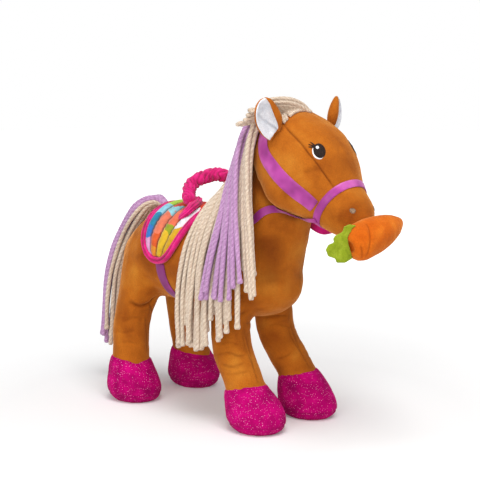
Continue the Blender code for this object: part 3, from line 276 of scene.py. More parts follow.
def thread_material(name, dark, light):
    # Rayon embroidery in satin stitch: close parallel threads with a soft gloss
    made, tree, place = new_material(name, Roughness=0.6, Specular_IOR_Level=0.15)
    turned = add(tree, "Mapping", {"Vector": place, "Scale": (1.0, 0.25, 1.0)})
    threads = add(tree, "TexNoise", {"Vector": turned, "Scale": per_mm(0.7), "Detail": 1.0})
    add(tree, "ValToRGB", {"Fac": threads}, "Base Color", [(0.35, dark), (0.68, light)])
    add(tree, "Bump", {"Height": threads, "Strength": 0.4, "Distance": 0.3 * MM}, "Normal")
    return made


# Patches of the saddle's print, from its right tip over the back to its left tip, rear row first
QUILT_ROWS = (
    [(0.00, "#DDA0CC"), (0.20, "#2A74C4"), (0.27, "#1A84A8"), (0.36, "#8FD0E4"), (0.46, "#A8CE44"),
     (0.60, "#ECEEEC"), (0.72, "#2AA6B8"), (0.84, "#E58AC0")],
    [(0.00, "#E08A1E"), (0.17, "#DC5A20"), (0.25, "#E87A5A"), (0.38, "#92D2DC"), (0.45, "#D8401C"),
     (0.60, "#B7DC4A"), (0.72, "#F0A31E"), (0.86, "#7FC8E4")],
    [(0.00, "#E4B822"), (0.24, "#98A01C"), (0.32, "#E8704E"), (0.43, "#D43A1A"), (0.58, "#ECECEC"),
     (0.68, "#3C9AD6"), (0.82, "#EFC62A")],
    [(0.00, "#D8A81C"), (0.28, "#ECEAEE"), (0.45, "#D43A1A"), (0.56, "#EE7F62"), (0.70, "#B7DC4A"),
     (0.84, "#E6A6D2")],
)

# The fourth colour of each plush is the painted shade along its seams and folds
PLUSH = plush_material("brown short-pile plush", "#904810", "#B26218", "#C67C28", "#541F04")
EAR_PLUSH = plush_material("pale ear plush", "#C0C4CC", "#DADDE4", "#F2F4F8", "#8A8F9A", nap=9.0,
                           tint="#FFFFFF")
CARROT_PLUSH = plush_material("orange carrot plush", "#BE540C", "#D06414", "#DE7820", "#8E3C06", nap=16.0)
LEAF_FELT = plush_material("yellow-green leaf plush", "#76881A", "#8C9E22", "#A4B434", "#56660E", nap=9.0,
                           tint="#E8FF90")
CREAM = yarn_material("cream brushed yarn", "#80695A", "#CBB49C", "#F0E4D4")
LILAC = yarn_material("lilac brushed yarn", "#7A4C76", "#B082AE", "#D8AED6")
SATIN = satin_material("orchid satin ribbon", "#862272", "#B03E98", "#D066B6", "#DC1488")
PINK = cloth_material("hot pink gathered cloth", "#860042", "#CC0068", "#E61E86")
LINING = cloth_material("white backing cloth", "#A8A8B0", "#CCCCD2", "#E8E8EC")
GLITTER = glitter_material("magenta glitter pile")
QUILT = print_material("printed quilting cotton")
EYE_DARK = thread_material("dark brown eye thread", "#0C0605", "#2A1810")
EYE_WHITE = thread_material("white eye thread", "#D8D8DC", "#FAFAFC")
NOSE_THREAD = thread_material("grey nostril thread", "#5E4430", "#A8917A")

# ------------------------------------------------------------------ meshes

def choose(*things):
    """Selects these things and no others, with the first as the active one."""
    for thing in list(bpy.context.selected_objects):
        thing.select_set(False)
    for thing in things[::-1]:
        thing.select_set(True)
        bpy.context.view_layer.objects.active = thing


def link(name, mesh):
    made = bpy.data.objects.new(name, mesh)
    scene.collection.objects.link(made)
    return made


def built(name, points, faces):
    """A new thing from its points and faces."""
    mesh = bpy.data.meshes.new(name)
    mesh.from_pydata([tuple(p) for p in points], [], faces)
    return link(name, mesh)


def edited(thing, operator, **settings):
    """Runs an operator on the whole of a thing in edit mode."""
    choose(thing)
    bpy.ops.object.mode_set(mode="EDIT")
    bpy.ops.mesh.select_all(action="SELECT")
    operator(**settings)
    bpy.ops.object.mode_set(mode="OBJECT")


def copies(name, *names):
    """One new mesh of copies of the named solids, with their loose triangles merged."""
    parts = [link(name, cad[n].data.copy()) for n in names]
    for part in parts:
        part.data.materials.clear()
    choose(*parts)
    if len(parts) > 1:
        bpy.ops.object.join()
    edited(parts[0], bpy.ops.mesh.remove_doubles, threshold=0.01 * MM)
    return parts[0]


def applied(thing, kind, **settings):
    """Gives a thing one modifier and applies it."""
    choose(thing)
    step = thing.modifiers.new(kind.lower(), kind)
    for key, value in settings.items():
        setattr(step, key, value)
    bpy.ops.object.modifier_apply(modifier=step.name)


def softened(thing, voxel, steps):
    """Makes one soft closed skin of a thing's shells; the voxel is in mm."""
    applied(thing, "REMESH", mode="VOXEL", voxel_size=voxel * MM)
    applied(thing, "SMOOTH", factor=0.5, iterations=steps)
    applied(thing, "SUBSURF", levels=1)
    return thing


def points_of(thing, what="co"):
    values = np.empty(len(thing.data.vertices) * 3, np.float32)
    thing.data.vertices.foreach_get(what, values)
    return values.reshape(-1, 3).astype(float)


def surface(thing):
    """A thing's points and their normals."""
    return points_of(thing), points_of(thing, "normal")


def set_points(thing, points):
    thing.data.vertices.foreach_set("co", points.astype(np.float32).ravel())
    thing.data.update()


def set_attribute(thing, name, values):
    kind, field = ("FLOAT", "value") if values.ndim == 1 else ("FLOAT_VECTOR", "vector")
    made = thing.data.attributes.new(name, kind, "POINT")
    made.data.foreach_set(field, values.astype(np.float32).ravel())


def tree_of(*things):
    """One search tree over the surfaces of several things."""
    corners, faces = [], []
    for thing in things:
        start = len(corners)
        corners += [v.co for v in thing.data.vertices]
        faces += [tuple(start + n for n in p.vertices) for p in thing.data.polygons]
    return BVHTree.FromPolygons(corners, faces)


def finish_piece(thing, material, body, *replaced, slot, smooth=None):
    """Gives a piece its material and its body, and hides the solids that it stands for."""
    thing.data.materials.clear()
    thing.data.materials.append(material)
    choose(thing)
    if smooth:
        bpy.ops.object.shade_smooth_by_angle(angle=math.radians(smooth))
    else:
        bpy.ops.object.shade_smooth()
    choose()
    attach(thing, body)
    if replaced:
        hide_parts(*replaced)


def unit(vector):
    vector = np.array(vector, float)
    return vector / np.linalg.norm(vector)


def row_at(table, t):
    """The row of a table at t, on a smooth curve through its rows."""
    rows = np.array(table, float)
    keys = rows[:, 0]
    slopes = np.gradient(rows[:, 1:], keys, axis=0)
    k = int(np.clip(np.searchsorted(keys, t) - 1, 0, len(keys) - 2))
    span = keys[k + 1] - keys[k]
    u = min(max((t - keys[k]) / span, 0.0), 1.0)
    start = (2 * u**3 - 3 * u**2 + 1) * rows[k, 1:] + (u**3 - 2 * u**2 + u) * span * slopes[k]
    end = (3 * u**2 - 2 * u**3) * rows[k + 1, 1:] + (u**3 - u**2) * span * slopes[k + 1]
    return start + end


def resampled(rows, spacing):
    """Evenly spaced rows of the smooth curve through the given ones; each row starts with a point."""
    rows = np.array(rows, float)
    lengths = np.linalg.norm(np.diff(rows[:, :3], axis=0), axis=1)
    keys = np.concatenate([[0.0], np.cumsum(lengths)])
    count = max(3, int(round(keys[-1] / spacing)) + 1)
    table = np.column_stack([keys, rows])
    return np.array([row_at(table, t) for t in np.linspace(0.0, keys[-1], count)])


def relaxed(rows, times):
    """Moves each row towards its neighbours a number of times; both ends stay."""
    for _ in range(times):
        rows[1:-1] = rows[1:-1] * 0.5 + (rows[:-2] + rows[2:]) * 0.25
    return rows


def turns(count):
    """Evenly spaced turns round a circle."""
    return [2 * math.pi * n / count for n in range(count)]


def roughen(thing, seed, *amounts):
    """Moves a skin's points along their normals by smooth noise: pairs of a size and a height in mm."""
    points, normals = surface(thing)
    move = np.zeros(len(points))
    offset = Vector((seed, seed * 1.7, seed * 0.6))
    for size, height in amounts:
        scale = per_mm(size)
        move += height * MM * np.array([noise.noise(Vector(p) * scale + offset) for p in points])
    set_points(thing, points + normals * move[:, None])


def cast(tree, pixels):
    """Points of a surface behind pixels of the photograph's frame."""
    hits = [tree.ray_cast(Vector(CAMERA_PLACE), Vector(sight(*pixel)))[0] for pixel in pixels]
    return [np.array(hit) for hit in hits if hit is not None]


# The far side's copy of a seam or fold is shallower, by this share
FAR_DEPTH = 0.4


def drawn_in(thing, lines, both_sides=True):
    """Draws seams and folds into a skin, with painted shade along them. Each line is (pixels, width mm, depth
    mm, darkness of the painted shade).
    """
    tree = tree_of(thing)
    points, normals = surface(thing)
    move, dark = np.zeros(len(points)), np.zeros(len(points))
    for pixels, width, depth, darkness in lines:
        route = resampled(cast(tree, pixels), 1.0 * MM)
        sides = [(route, depth)]
        if both_sides:
            sides.append((mirrored(route), FAR_DEPTH * depth))
        for line, deep in sides:
            low, high = line.min(axis=0) - 4 * width * MM, line.max(axis=0) + 4 * width * MM
            close = np.flatnonzero(((points > low) & (points < high)).all(axis=1))
            apart = np.linalg.norm(points[close, None, :] - line[None, :, :], axis=2)
            distance = apart.min(axis=1) / (width * MM)
            # A seam fades out towards both its ends
            place = apart.argmin(axis=1) / (len(line) - 1)
            fade = np.clip(np.minimum(place, 1 - place) * 6 + 0.25, 0, 1)
            move[close] = np.maximum(move[close], deep * MM * (np.exp(-distance**2) * fade))
            dark[close] = np.maximum(dark[close], darkness * np.exp(-(distance * 1.5) ** 2) * fade)
    set_points(thing, points - normals * move[:, None])
    # This attribute holds the painted shade along the lines
    set_attribute(thing, "fold_shade", dark)


# ------------------------------------------------------------------ plush body

LIMBS = ("front_left", "front_right", "rear_left", "rear_right")

HEAD_NODES = ["head", "stuffing_head"]
TRUNK_NODES = ["torso", "neck", "stuffing_torso", "stuffing_neck"]
for limb in LIMBS:
    TRUNK_NODES += ["leg_" + limb, "stuffing_leg_" + limb]
FOOT_NODES = [part + limb for limb in LIMBS for part in ("hoof_", "sole_")]

# Where the stuffed cheek stands proudest, and how far
CHEEK_PIXEL, CHEEK_SIZE, CHEEK_PROUD = (277.5, 194.0), 24 * MM, 8.5 * MM

def fill_cheeks(points, normals):
    """Swells both cheeks outwards, and whatever lies on them with them."""
    move = np.zeros(len(points))
    for spot in (cheek_spot, mirrored(cheek_spot)):
        away = np.linalg.norm(points - spot, axis=1) / CHEEK_SIZE
        move = np.maximum(move, CHEEK_PROUD * np.exp(-away**2))
    return points + normals * move[:, None]


head_skin = softened(copies("head_skin", *HEAD_NODES), 2.0, 10)
roughen(head_skin, 3.1, (36.0, 0.9), (14.0, 0.35), (6.0, 0.15))
cheek_spot = cast(tree_of(head_skin), [CHEEK_PIXEL])[0]
set_points(head_skin, fill_cheeks(*surface(head_skin)))
trunk_skin = softened(copies("trunk_skin", *TRUNK_NODES, *FOOT_NODES), 2.5, 8)
roughen(trunk_skin, 1.4, (42.0, 1.2), (16.0, 0.5), (7.0, 0.2))

# Seams and folds of the near side, as pixels of the photograph's frame; the far side has the same.
# Each has its width and depth in mm, and how dark the painted shade along it is
HEAD_LINES = (
    (((283.5, 124), (287.8, 129.5), (297.5, 139.7), (303.6, 146.6), (308.2, 153), (314.6, 160.4),
      (320.6, 168.6), (326.6, 177), (332, 184.5), (336, 190)), 1.1, 1.3, 0.85),
    (((322, 168), (312, 170.5), (303, 173.5)), 3.4, 1.2, 0.22),
)
TRUNK_LINES = (
    # The deep tuck of the neck behind the jaw, with painted shade in it, and below the jaw a broad band of
    # painted shadow down the neck
    (((256, 160), (260, 178), (266, 194), (276, 206), (290, 214), (302, 218)), 9.0, 0.5, 0.75),
    (((268, 234), (271, 262), (272, 288)), 20.0, 0.2, 0.5),
    # The rear leg: where it joins the trunk, its wrinkles, and its front seam
    (((110, 289), (116.5, 296), (128.6, 301.8), (140.7, 306.4), (149, 304), (156, 297)), 2.6, 3.0, 0.55),
    (((148.5, 301), (150.5, 306), (152, 312)), 1.6, 1.6, 0.5),
    (((114, 318), (124, 320.5), (134, 318), (144, 320)), 2.2, 1.3, 0.2),
    (((116, 331), (126, 332.5), (136, 330.5)), 2.0, 1.1, 0.2),
    (((118, 343), (128, 342), (138, 344)), 1.8, 0.9, 0.15),
    (((145.3, 316), (146.3, 332), (146.9, 352)), 1.3, 0.5, 0.5),
    # The front leg: its front seam, its inner seam and the wrinkles above the hoof
    (((243.6, 322), (247.2, 341.4), (252.6, 363.4), (259, 384)), 1.3, 0.5, 0.5),
    (((218, 354.6), (229.2, 352.4), (240.1, 355.7), (246, 354.5)), 2.0, 1.0, 0.35),
    (((221, 364), (232, 366.6), (244.6, 363)), 2.0, 1.1, 0.35),
    (((226.3, 374.8), (238.8, 373.2), (249, 371)), 1.8, 1.1, 0.25),
    (((216, 344.5), (228, 341.5), (240, 344)), 2.0, 1.0, 0.2),
    (((222, 318), (236, 316.5), (247, 312)), 2.6, 1.8, 0.5),
    # The far front leg where it leaves the chest
    (((254, 318), (264, 317.5), (276, 316.6), (287, 315.4), (296, 311)), 1.8, 2.4, 0.6),
    (((268, 326), (278, 324.5), (290, 327)), 1.8, 1.1, 0.25),
    (((276, 359), (284, 357), (291, 353)), 1.8, 0.9, 0.3),
    (((289.8, 320), (293.5, 334), (300.5, 351), (308, 365)), 1.3, 0.5, 0.5),
)
drawn_in(head_skin, HEAD_LINES)
drawn_in(trunk_skin, TRUNK_LINES)
# The top of the hoofs' cuffs, and how far the skin draws in under them: front, then rear
CUFF_TOPS, CUFF_TUCKS = (37.0 * MM, 39.5 * MM), (3.8 * MM, 2.8 * MM)


def tuck_feet(thing):
    """Draws the skin in under each hoof's cover and holds it off the floor."""
    points, normals = surface(thing)
    front = points[:, 0] > 0
    inside = np.clip((np.where(front, *CUFF_TOPS) - points[:, 2]) / (4 * MM), 0, 1)
    points -= normals * (inside * np.where(front, *CUFF_TUCKS))[:, None]
    points[:, 2] = np.maximum(points[:, 2], 3 * MM)
    set_points(thing, points)


tuck_feet(trunk_skin)
head_tree = tree_of(head_skin)
body_tree = tree_of(head_skin, trunk_skin)
finish_piece(head_skin, PLUSH, "horse", *HEAD_NODES, slot="plush")
finish_piece(trunk_skin, PLUSH, "horse", *TRUNK_NODES, slot="plush")

# The share of a cover's height up to which the foot fills it, half a hoof's length, how high its
# sole rounds under, and the height of its sole seam
HOOF_FILLED, HOOF_HALF, SOLE_ROUND, SOLE_SEAM = 0.72, 20 * MM, 15 * MM, 8.5 * MM
# Each cuff, in mm: how far it is raised, how far it leans up behind, from how far back in half
# lengths, and how deep it dips at its seam
CUFFS = {"front_left": (0.3, 0.2, 0.6, 0.0), "front_right": (-1.3, 0.2, 0.6, 0.0),
         "rear_left": (-0.6, 2.6, 1.0, 2.6), "rear_right": (2.6, 2.6, 1.0, 2.6)}


def make_hoof(limb):
    """A hoof's glitter cover over the foot, with its sole seam."""
    name = "hoof_cover_" + limb
    fill = copies(name + "_fill", "stuffing_leg_" + limb)
    low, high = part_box("hoof_" + limb)
    cut = low.z + HOOF_FILLED * (high.z - low.z)
    edited(fill, bpy.ops.mesh.bisect, plane_co=(0, 0, cut), plane_no=(0, 0, 1), use_fill=True,
           clear_outer=True)
    shell = copies(name, "hoof_" + limb, "sole_" + limb)
    choose(shell, fill)
    bpy.ops.object.join()
    softened(shell, 1.7, 7)
    roughen(shell, LIMBS.index(limb) * 5.3, (22.0, 0.8), (7.0, 0.25))
    points = points_of(shell)
    middle = np.array((low + high) / 2)
    # The sole rounds under, and the side above it bulges
    under = np.clip(1 - points[:, 2] / SOLE_ROUND, 0, 1) ** 2
    bulge = np.exp(-((points[:, 2] - SOLE_ROUND) / (9 * MM)) ** 2)
    grow = (1 - 0.15 * under + 0.03 * bulge)[:, None]
    points[:, :2] = middle[:2] + (points[:, :2] - middle[:2]) * grow
    # The cuff moves, and the hoof's lower part stays
    upper = np.clip((points[:, 2] - 26 * MM) / (14 * MM), 0, 1)
    upper = upper * upper * (3 - 2 * upper)
    ahead, outward = ((points[:, :2] - middle[:2]) / HOOF_HALF).T
    if limb.endswith("right"):
        outward = -outward
    dip = np.exp(-((np.degrees(np.arctan2(outward, ahead)) - 35) / 26) ** 2)
    rise, lean, back, deep = CUFFS[limb]
    points[:, 2] += upper * (rise - lean * np.clip(ahead, -back, 1) - deep * dip) * MM
    set_points(shell, points)
    points, normals = surface(shell)
    upright = np.clip(1 - np.abs(normals[:, 2]), 0, 1)
    groove = np.exp(-((points[:, 2] - SOLE_SEAM) / (0.9 * MM)) ** 2) * upright
    points += normals * (1.2 * MM - 1.0 * MM * groove)[:, None]
    points[:, 2] = np.maximum(points[:, 2], 0.0)
    set_points(shell, points)
    # Painted shade in the sole seam's groove
    set_attribute(shell, "fold_shade", 0.55 * groove)
    finish_piece(shell, GLITTER, "horse", "hoof_" + limb, "sole_" + limb, slot="hoof_cloth")


for limb in LIMBS:
    make_hoof(limb)

# ------------------------------------------------------------------ ears

EAR_HEIGHT, EAR_WIDTH, EAR_CUP = 37.5 * MM, 32.0 * MM, 7.5 * MM
# Up the ear: half width, cup and how wide its inner edge is rolled forward
EAR_TABLE = ((0.00, 0.50, 0.10, 0.20), (0.15, 0.76, 0.50, 0.70), (0.42, 1.00, 1.00, 1.00),
             (0.70, 0.88, 0.90, 0.80), (0.88, 0.62, 0.50, 0.45), (0.97, 0.34, 0.15, 0.15),
             (1.00, 0.16, 0.05, 0.05))
EAR_ROLL, EAR_ROLL_START = 4.2 * MM, 0.45
EAR_ROWS, EAR_COLUMNS = 22, 26
# Up and across the ear, where its lining is creased, from the outer edge to the foot
EAR_CREASE = ((0.72, -0.95), (0.08, 0.30))


def creased(t, v):
    """How far a place on the ear's lining lies in its crease, from 0 to 1."""
    size = np.array((EAR_HEIGHT, EAR_WIDTH / 2))
    start, end = (np.array(spot) * size for spot in EAR_CREASE)
    place, reach = np.array((t, v)) * size - start, end - start
    share = min(max(np.dot(place, reach) / np.dot(reach, reach), 0.0), 1.0)
    return math.exp(-(np.linalg.norm(place - reach * share) / (1.5 * MM)) ** 2) * (0.35 + 0.65 * share)


def ear_sheet(name, body, side, low, high, start, lift, thickness, crease=0.0):
    """A cupped sheet whose inner edge rolls forward; low and high are its ends across the ear."""
    foot = next(np.array(joint["pos_m"]) for joint in frame["joints"] if joint["child"] == body)
    base = unit(np.array((0.3543, -side * 0.4545, 0.8173)))
    rise = unit((-0.0698, side * 0.3987, 0.9171))
    wide = unit(base - np.dot(base, rise) * rise)
    facing = np.cross(wide, rise) * -side
    points, faces, dark = [], [], []
    for t in np.linspace(start, 1.0, EAR_ROWS):
        half, cup, roll = row_at(EAR_TABLE, t)
        half, cup, roll = half * EAR_WIDTH / 2, EAR_CUP * cup, EAR_ROLL * roll
        turn = max(0.0, 1 - t / 0.40)
        across = unit(wide * (1 - turn) + base * turn)
        for v in np.linspace(low, high, EAR_COLUMNS):
            flat = min(v, EAR_ROLL_START)
            slope = math.atan2(2 * cup * flat, half)
            place, ahead, bend = across * flat * half, cup * (flat * flat - 0.5), 0.0
            if v > EAR_ROLL_START:
                bend = (v - EAR_ROLL_START) / (1 - EAR_ROLL_START) * math.radians(190)
                place = place + across * roll * (math.sin(slope + bend) - math.sin(slope))
                ahead += roll * (math.cos(slope) - math.cos(slope + bend))
            near = unit(facing * math.cos(slope + bend) - across * math.sin(slope + bend))
            deep = creased(t, v) if crease else 0.0
            points.append(foot + rise * EAR_HEIGHT * t + place + facing * ahead
                          + near * (lift - crease * deep))
            # Painted shade along the lining's crease
            dark.append(0.75 * deep)
    for r in range(EAR_ROWS - 1):
        for c in range(EAR_COLUMNS - 1):
            here = r * EAR_COLUMNS + c
            faces.append((here, here + 1, here + EAR_COLUMNS + 1, here + EAR_COLUMNS))
    made = built(name, points, faces)
    set_attribute(made, "fold_shade", np.array(dark))
    applied(made, "SOLIDIFY", thickness=thickness, offset=0.0)
    applied(made, "SUBSURF", levels=1)
    return made


for hand, side in (("left", 1), ("right", -1)):
    body = "ear_" + hand
    shell = ear_sheet("ear_shell_" + hand, body, side, -1.0, 1.0, 0.0, 0.0, 2.4 * MM)
    roughen(shell, side * 2.0, (5.0, 0.25))
    finish_piece(shell, PLUSH, body, "ear_" + hand, slot="plush")
    cup = ear_sheet("ear_cup_" + hand, body, side, -1.05, 0.66, 0.06, 1.9 * MM, 1.5 * MM, crease=1.2 * MM)
    roughen(cup, side * 4.0, (4.0, 0.2))
    finish_piece(cup, EAR_PLUSH, body, "ear_lining_" + hand, slot="lining_cloth")

# ------------------------------------------------------------------ embroidery


EYE_PIXEL, NOSTRIL_PIXEL = (319.2, 150.9), (352.6, 210.8)
# How far outside the skin a stitch is dropped onto it
DROP = 12 * MM


def applique(name, hand, pixel, outline, lift, material, *replaced, slot, dome=0.3):
    """A small flat patch laid on the skin behind a pixel, or for the left hand on the mirror image
    of that place; the outline is in mm to the right and up, seen from outside."""
    hit, normal, _, _ = head_tree.ray_cast(Vector(CAMERA_PLACE), Vector(sight(*pixel)))
    centre, outward = np.array(hit), np.array(normal)
    if hand == "left":
        centre, outward = mirrored(centre), outward * (1, -1, 1)
    outward = unit(outward)
    up = unit(np.array((0.0, 0.0, 1.0)) - outward[2] * outward)
    right = np.cross(up, outward) * (-1 if hand == "left" else 1)
    mesh = bpy.data.meshes.new(name)
    shape = bmesh.new()
    outline = np.array(outline, float) * MM
    middle = outline.mean(axis=0)
    rings = []
    for step in (0.0, 0.35, 0.65, 0.88, 1.0):
        ring = []
        for spot in outline if step else outline[:1]:
            across, rise = middle + (spot - middle) * step
            start = centre + right * across + up * rise + outward * DROP
            hit, normal, _, _ = head_tree.ray_cast(Vector(start), Vector(-outward))
            height = (lift + dome * (1 - step**4)) * MM
            ring.append(shape.verts.new(np.array(hit) + np.array(normal) * height))
        rings.append(ring)
    count = len(outline)
    for n in range(count):
        m = (n + 1) % count
        shape.faces.new((rings[0][0], rings[1][n], rings[1][m]))
        for inner, outer in zip(rings[1:-1], rings[2:]):
            shape.faces.new((inner[n], outer[n], outer[m], inner[m]))
    bmesh.ops.recalc_face_normals(shape, faces=shape.faces)
    shape.to_mesh(mesh)
    shape.free()
    made = link(name, mesh)
    if np.dot(points_of(made, "normal").mean(axis=0), outward) < 0:
        mesh.flip_normals()
    applied(made, "SOLIDIFY", thickness=(lift + 0.9) * MM, offset=-1.0)
    finish_piece(made, material, "horse", *replaced, slot=slot, smooth=50)


def oval(across, rise, centre=(0.0, 0.0), tilt=0.0):
    cos, sin = math.cos(math.radians(tilt)), math.sin(math.radians(tilt))
    spots = [(across * math.cos(turn), rise * math.sin(turn)) for turn in turns(28)]
    return [(centre[0] + x * cos - y * sin, centre[1] + x * sin + y * cos) for x, y in spots]


def stroke(start, end):
    """A tapering stitch from start to end, 1.2 mm thick."""
    start, along = np.array(start), np.array(end) - start
    across = np.array((-along[1], along[0])) / math.hypot(*along) * 1.2
    profile = ((0.0, 0.5), (0.35, 0.55), (0.75, 0.34), (1.0, 0.08))
    return ([start + along * t + across * w for t, w in profile]
            + [start + along * t - across * w for t, w in profile[::-1]])


LASHES = (((-3.6, 5.2), (-8.2, 9.6)), ((-4.6, 4.6), (-10.0, 7.2)), ((-5.2, 3.6), (-10.2, 4.4)))

for hand in ("right", "left"):
    applique("eye_white_" + hand, hand, EYE_PIXEL, oval(5.9, 7.6, (-0.7, -0.9), 8), 0.15, EYE_WHITE,
             slot="lining_cloth")
    applique("eye_dark_" + hand, hand, EYE_PIXEL, oval(5.8, 7.6, (0.2, 0.1), 8), 0.45, EYE_DARK,
             "eye_" + hand, slot="eye_thread")
    applique("eye_glint_" + hand, hand, EYE_PIXEL, oval(1.5, 1.6, (-1.6, 3.2)), 0.95, EYE_WHITE,
             slot="lining_cloth")
    for k, (start, end) in enumerate(LASHES):
        applique(f"lash_{hand}_{k + 1}", hand, EYE_PIXEL, stroke(start, end), 0.45, EYE_DARK,
                 slot="eye_thread", dome=0.15)
    applique("nostril_" + hand + "_stitch", hand, NOSTRIL_PIXEL, oval(3.1, 2.5, tilt=-20), 0.25,
             NOSE_THREAD, "nostril_" + hand, slot="nostril_thread")

# ------------------------------------------------------------------ ribbons


def soft_edged(name, node, levels, crease=True):
    """A rounded copy of a solid made of strips, with its sharp edges kept where that is asked."""
    made = copies(name, node)
    edited(made, bpy.ops.mesh.tris_convert_to_quads, face_threshold=math.radians(60),
           shape_threshold=math.radians(60))
    if crease:
        shape = bmesh.new()
        shape.from_mesh(made.data)
        layer = shape.edges.layers.float.new("crease_edge")
        for edge in shape.edges:
            if len(edge.link_faces) == 2 and edge.calc_face_angle(0.0) > math.radians(35):
                edge[layer] = 0.9
        shape.to_mesh(made.data)
        shape.free()
    applied(made, "SUBSURF", levels=levels)
    return made


def raised_with_cheek(thing):
    """Moves a ribbon out with the cheek that it lies on."""
    points = points_of(thing)
    normals = np.array([head_tree.find_nearest(Vector(p))[1] for p in points])
    set_points(thing, fill_cheeks(points, normals))


# How far round each point a ribbon's underside is looked for
SETTLE_REACH = 4 * MM


def settle(thing):
    """Lays a ribbon down on the head, wherever its underside is clear of it."""
    points = points_of(thing)
    found = [head_tree.find_nearest(Vector(p)) for p in points]
    normals = np.array([hit[1] for hit in found])
    clear = ((points - np.array([hit[0] for hit in found])) * normals).sum(axis=1)
    near = KDTree(len(points))
    for n, point in enumerate(points):
        near.insert(point, n)
    near.balance()
    under = np.array([min(clear[n] for _, n, _ in near.find_range(p, SETTLE_REACH)) for p in points])
    set_points(thing, points - normals * np.maximum(under - 0.1 * MM, 0)[:, None])

for name, node in (("headstall_ribbon", "headstall"), ("noseband_ribbon", "noseband"),
                   ("girth_ribbon", "girth")):
    ribbon = soft_edged(name, node, 2)
    if node != "girth":
        raised_with_cheek(ribbon)
        settle(ribbon)
    finish_piece(ribbon, SATIN, "horse", node, slot="satin", smooth=40)

# The rein on the near side, as pixels of the photograph's frame, and then, in mm, round behind
# the neck, along the far side and through its loose hang to the noseband
REIN_PIXELS = ((317, 219.5), (309, 218.6), (300, 216.8), (292, 213.4), (285, 210), (278, 207.8), (272, 207.5),
               (266, 210), (261, 213), (257, 218), (253.5, 223))
REIN_ROUND = ((52, -35, 210), (38, -29, 213), (26, -14, 216.5), (22, 0.5, 217.5), (26, 15, 216.5),
              (40, 31, 212), (62, 37, 206), (82, 31, 201), (96, 30, 197), (112, 31, 199),
              (128, 30.5, 207), (141.5, 30, 217.5))
REIN_WIDTH = 7.6 * MM


def make_rein():
    spots = cast(body_tree, REIN_PIXELS)
    spots += [np.array(spot) * MM for spot in REIN_ROUND]
    path = resampled(spots, 2.0 * MM)
    path = kept_off(path, 2.2 * MM)
    path = kept_off(relaxed(path, 14), 1.2 * MM)
    away = relaxed(np.array([body_tree.find_nearest(Vector(p))[1] for p in path]), 30)
    columns = np.linspace(-0.5, 0.5, 5)
    tangents = np.gradient(path, axis=0)
    rings = []
    for point, tangent, out in zip(path, tangents, away):
        tangent = unit(tangent)
        out = unit(out - np.dot(out, tangent) * tangent)
        side = np.cross(tangent, out) * REIN_WIDTH * min(1.0, 0.62 + 0.1 * len(rings) / 8)
        top = [point + side * c + out * 0.5 * MM for c in columns]
        rings.append(top + [point + side * c - out * 0.3 * MM for c in columns[::-1]])
    made = tube("rein_ribbon", rings)
    # The last five points of each ring's ten are its underside, which shows where the rein hangs
    inner = np.array([n % 10 >= 5 for n in range(len(path) * 10)] + [False, False])
    loose = inner & (points_of(made)[:, 1] > 12 * MM)
    set_attribute(made, "loose_underside", loose.astype(float))
    finish_piece(made, SATIN, "horse", "reins", slot="satin", smooth=40)


# ------------------------------------------------------------------ saddle

SADDLE_X, SADDLE_HALF, SADDLE_REACH, SADDLE_POWER = -38.0 * MM, 34.0 * MM, math.radians(90), 2.3


def quilt_places(points):
    """For each point, its place across the saddle (0 rear to 1 front) and along it (0 right to 1 left)."""
    x = points[:, 0] - SHIFT[0] - SADDLE_X
    around = np.arctan2(points[:, 1] - MIDDLE_Y, points[:, 2] - AXIS_Z) / SADDLE_REACH
    around = np.clip(around, -0.985, 0.985)
    width = (1 - np.abs(around) ** SADDLE_POWER) ** (1 / SADDLE_POWER)
    across = np.clip(x / (SADDLE_HALF * width), -1, 1)
    return (across + 1) / 2, (around + 1) / 2


def facing_out(points, normals):
    """How squarely each normal points away from the trunk's axis, from 0 to 1."""
    arms = points[:, 1:] - (MIDDLE_Y, AXIS_Z)
    return np.clip((normals[:, 1:] * arms).sum(axis=1) / np.linalg.norm(arms, axis=1), 0, 1)


pad = soft_edged("saddle_quilt", "saddle_pad", 3, crease=False)
points, normals = surface(pad)
across, along = quilt_places(points)
ridge = np.abs(np.sin(math.pi * len(QUILT_ROWS) * across))
inside = np.clip(np.minimum(across, 1 - across) / 0.07, 0, 1)
inside *= np.clip(np.minimum(along, 1 - along) / 0.05, 0, 1)
pucker = np.sin(along * 150 + 3 * np.sin(along * 31) + across * 9)
puff = 2.6 * ridge**0.7 - 1.6 + 0.45 * pucker * (1 - ridge)
set_points(pad, points + normals * (puff * inside * facing_out(points, normals) * MM)[:, None])
set_attribute(pad, "quilt", np.column_stack([across, along, np.zeros(len(across))]))
# Painted shade in the stitched valleys between the channels
set_attribute(pad, "fold_shade", 0.85 * np.exp(-(ridge / 0.26) ** 2) * inside)
finish_piece(pad, QUILT, "horse", "saddle_pad", slot="saddle_print")
under = soft_edged("saddle_under", "saddle_lining", 2)
finish_piece(under, LINING, "horse", "saddle_lining", slot="lining_cloth", smooth=40)
welt = soft_edged("saddle_welt", "saddle_piping", 2, crease=False)
points, normals = surface(welt)
# The bias strip is rolled double: a groove runs along the middle of its face
groove = np.clip((facing_out(points, normals) - 0.93) / 0.05, 0, 1)
set_points(welt, points + normals * ((1.6 - 1.5 * groove) * MM)[:, None])
# Painted shade in the groove
set_attribute(welt, "fold_shade", 0.35 * groove)
roughen(welt, 8.0, (3.0, 0.35))
finish_piece(welt, PINK, "horse", "saddle_piping", slot="piping_cloth")

# ------------------------------------------------------------------ carry handle

HANDLE_NEAR, HANDLE_FAR = np.array((-37.78, -26.48, 221.00)) * MM, np.array((-37.78, 39.04, 214.94)) * MM
HANDLE_RISE, HANDLE_RADIUS = 28.5 * MM, 7.1 * MM
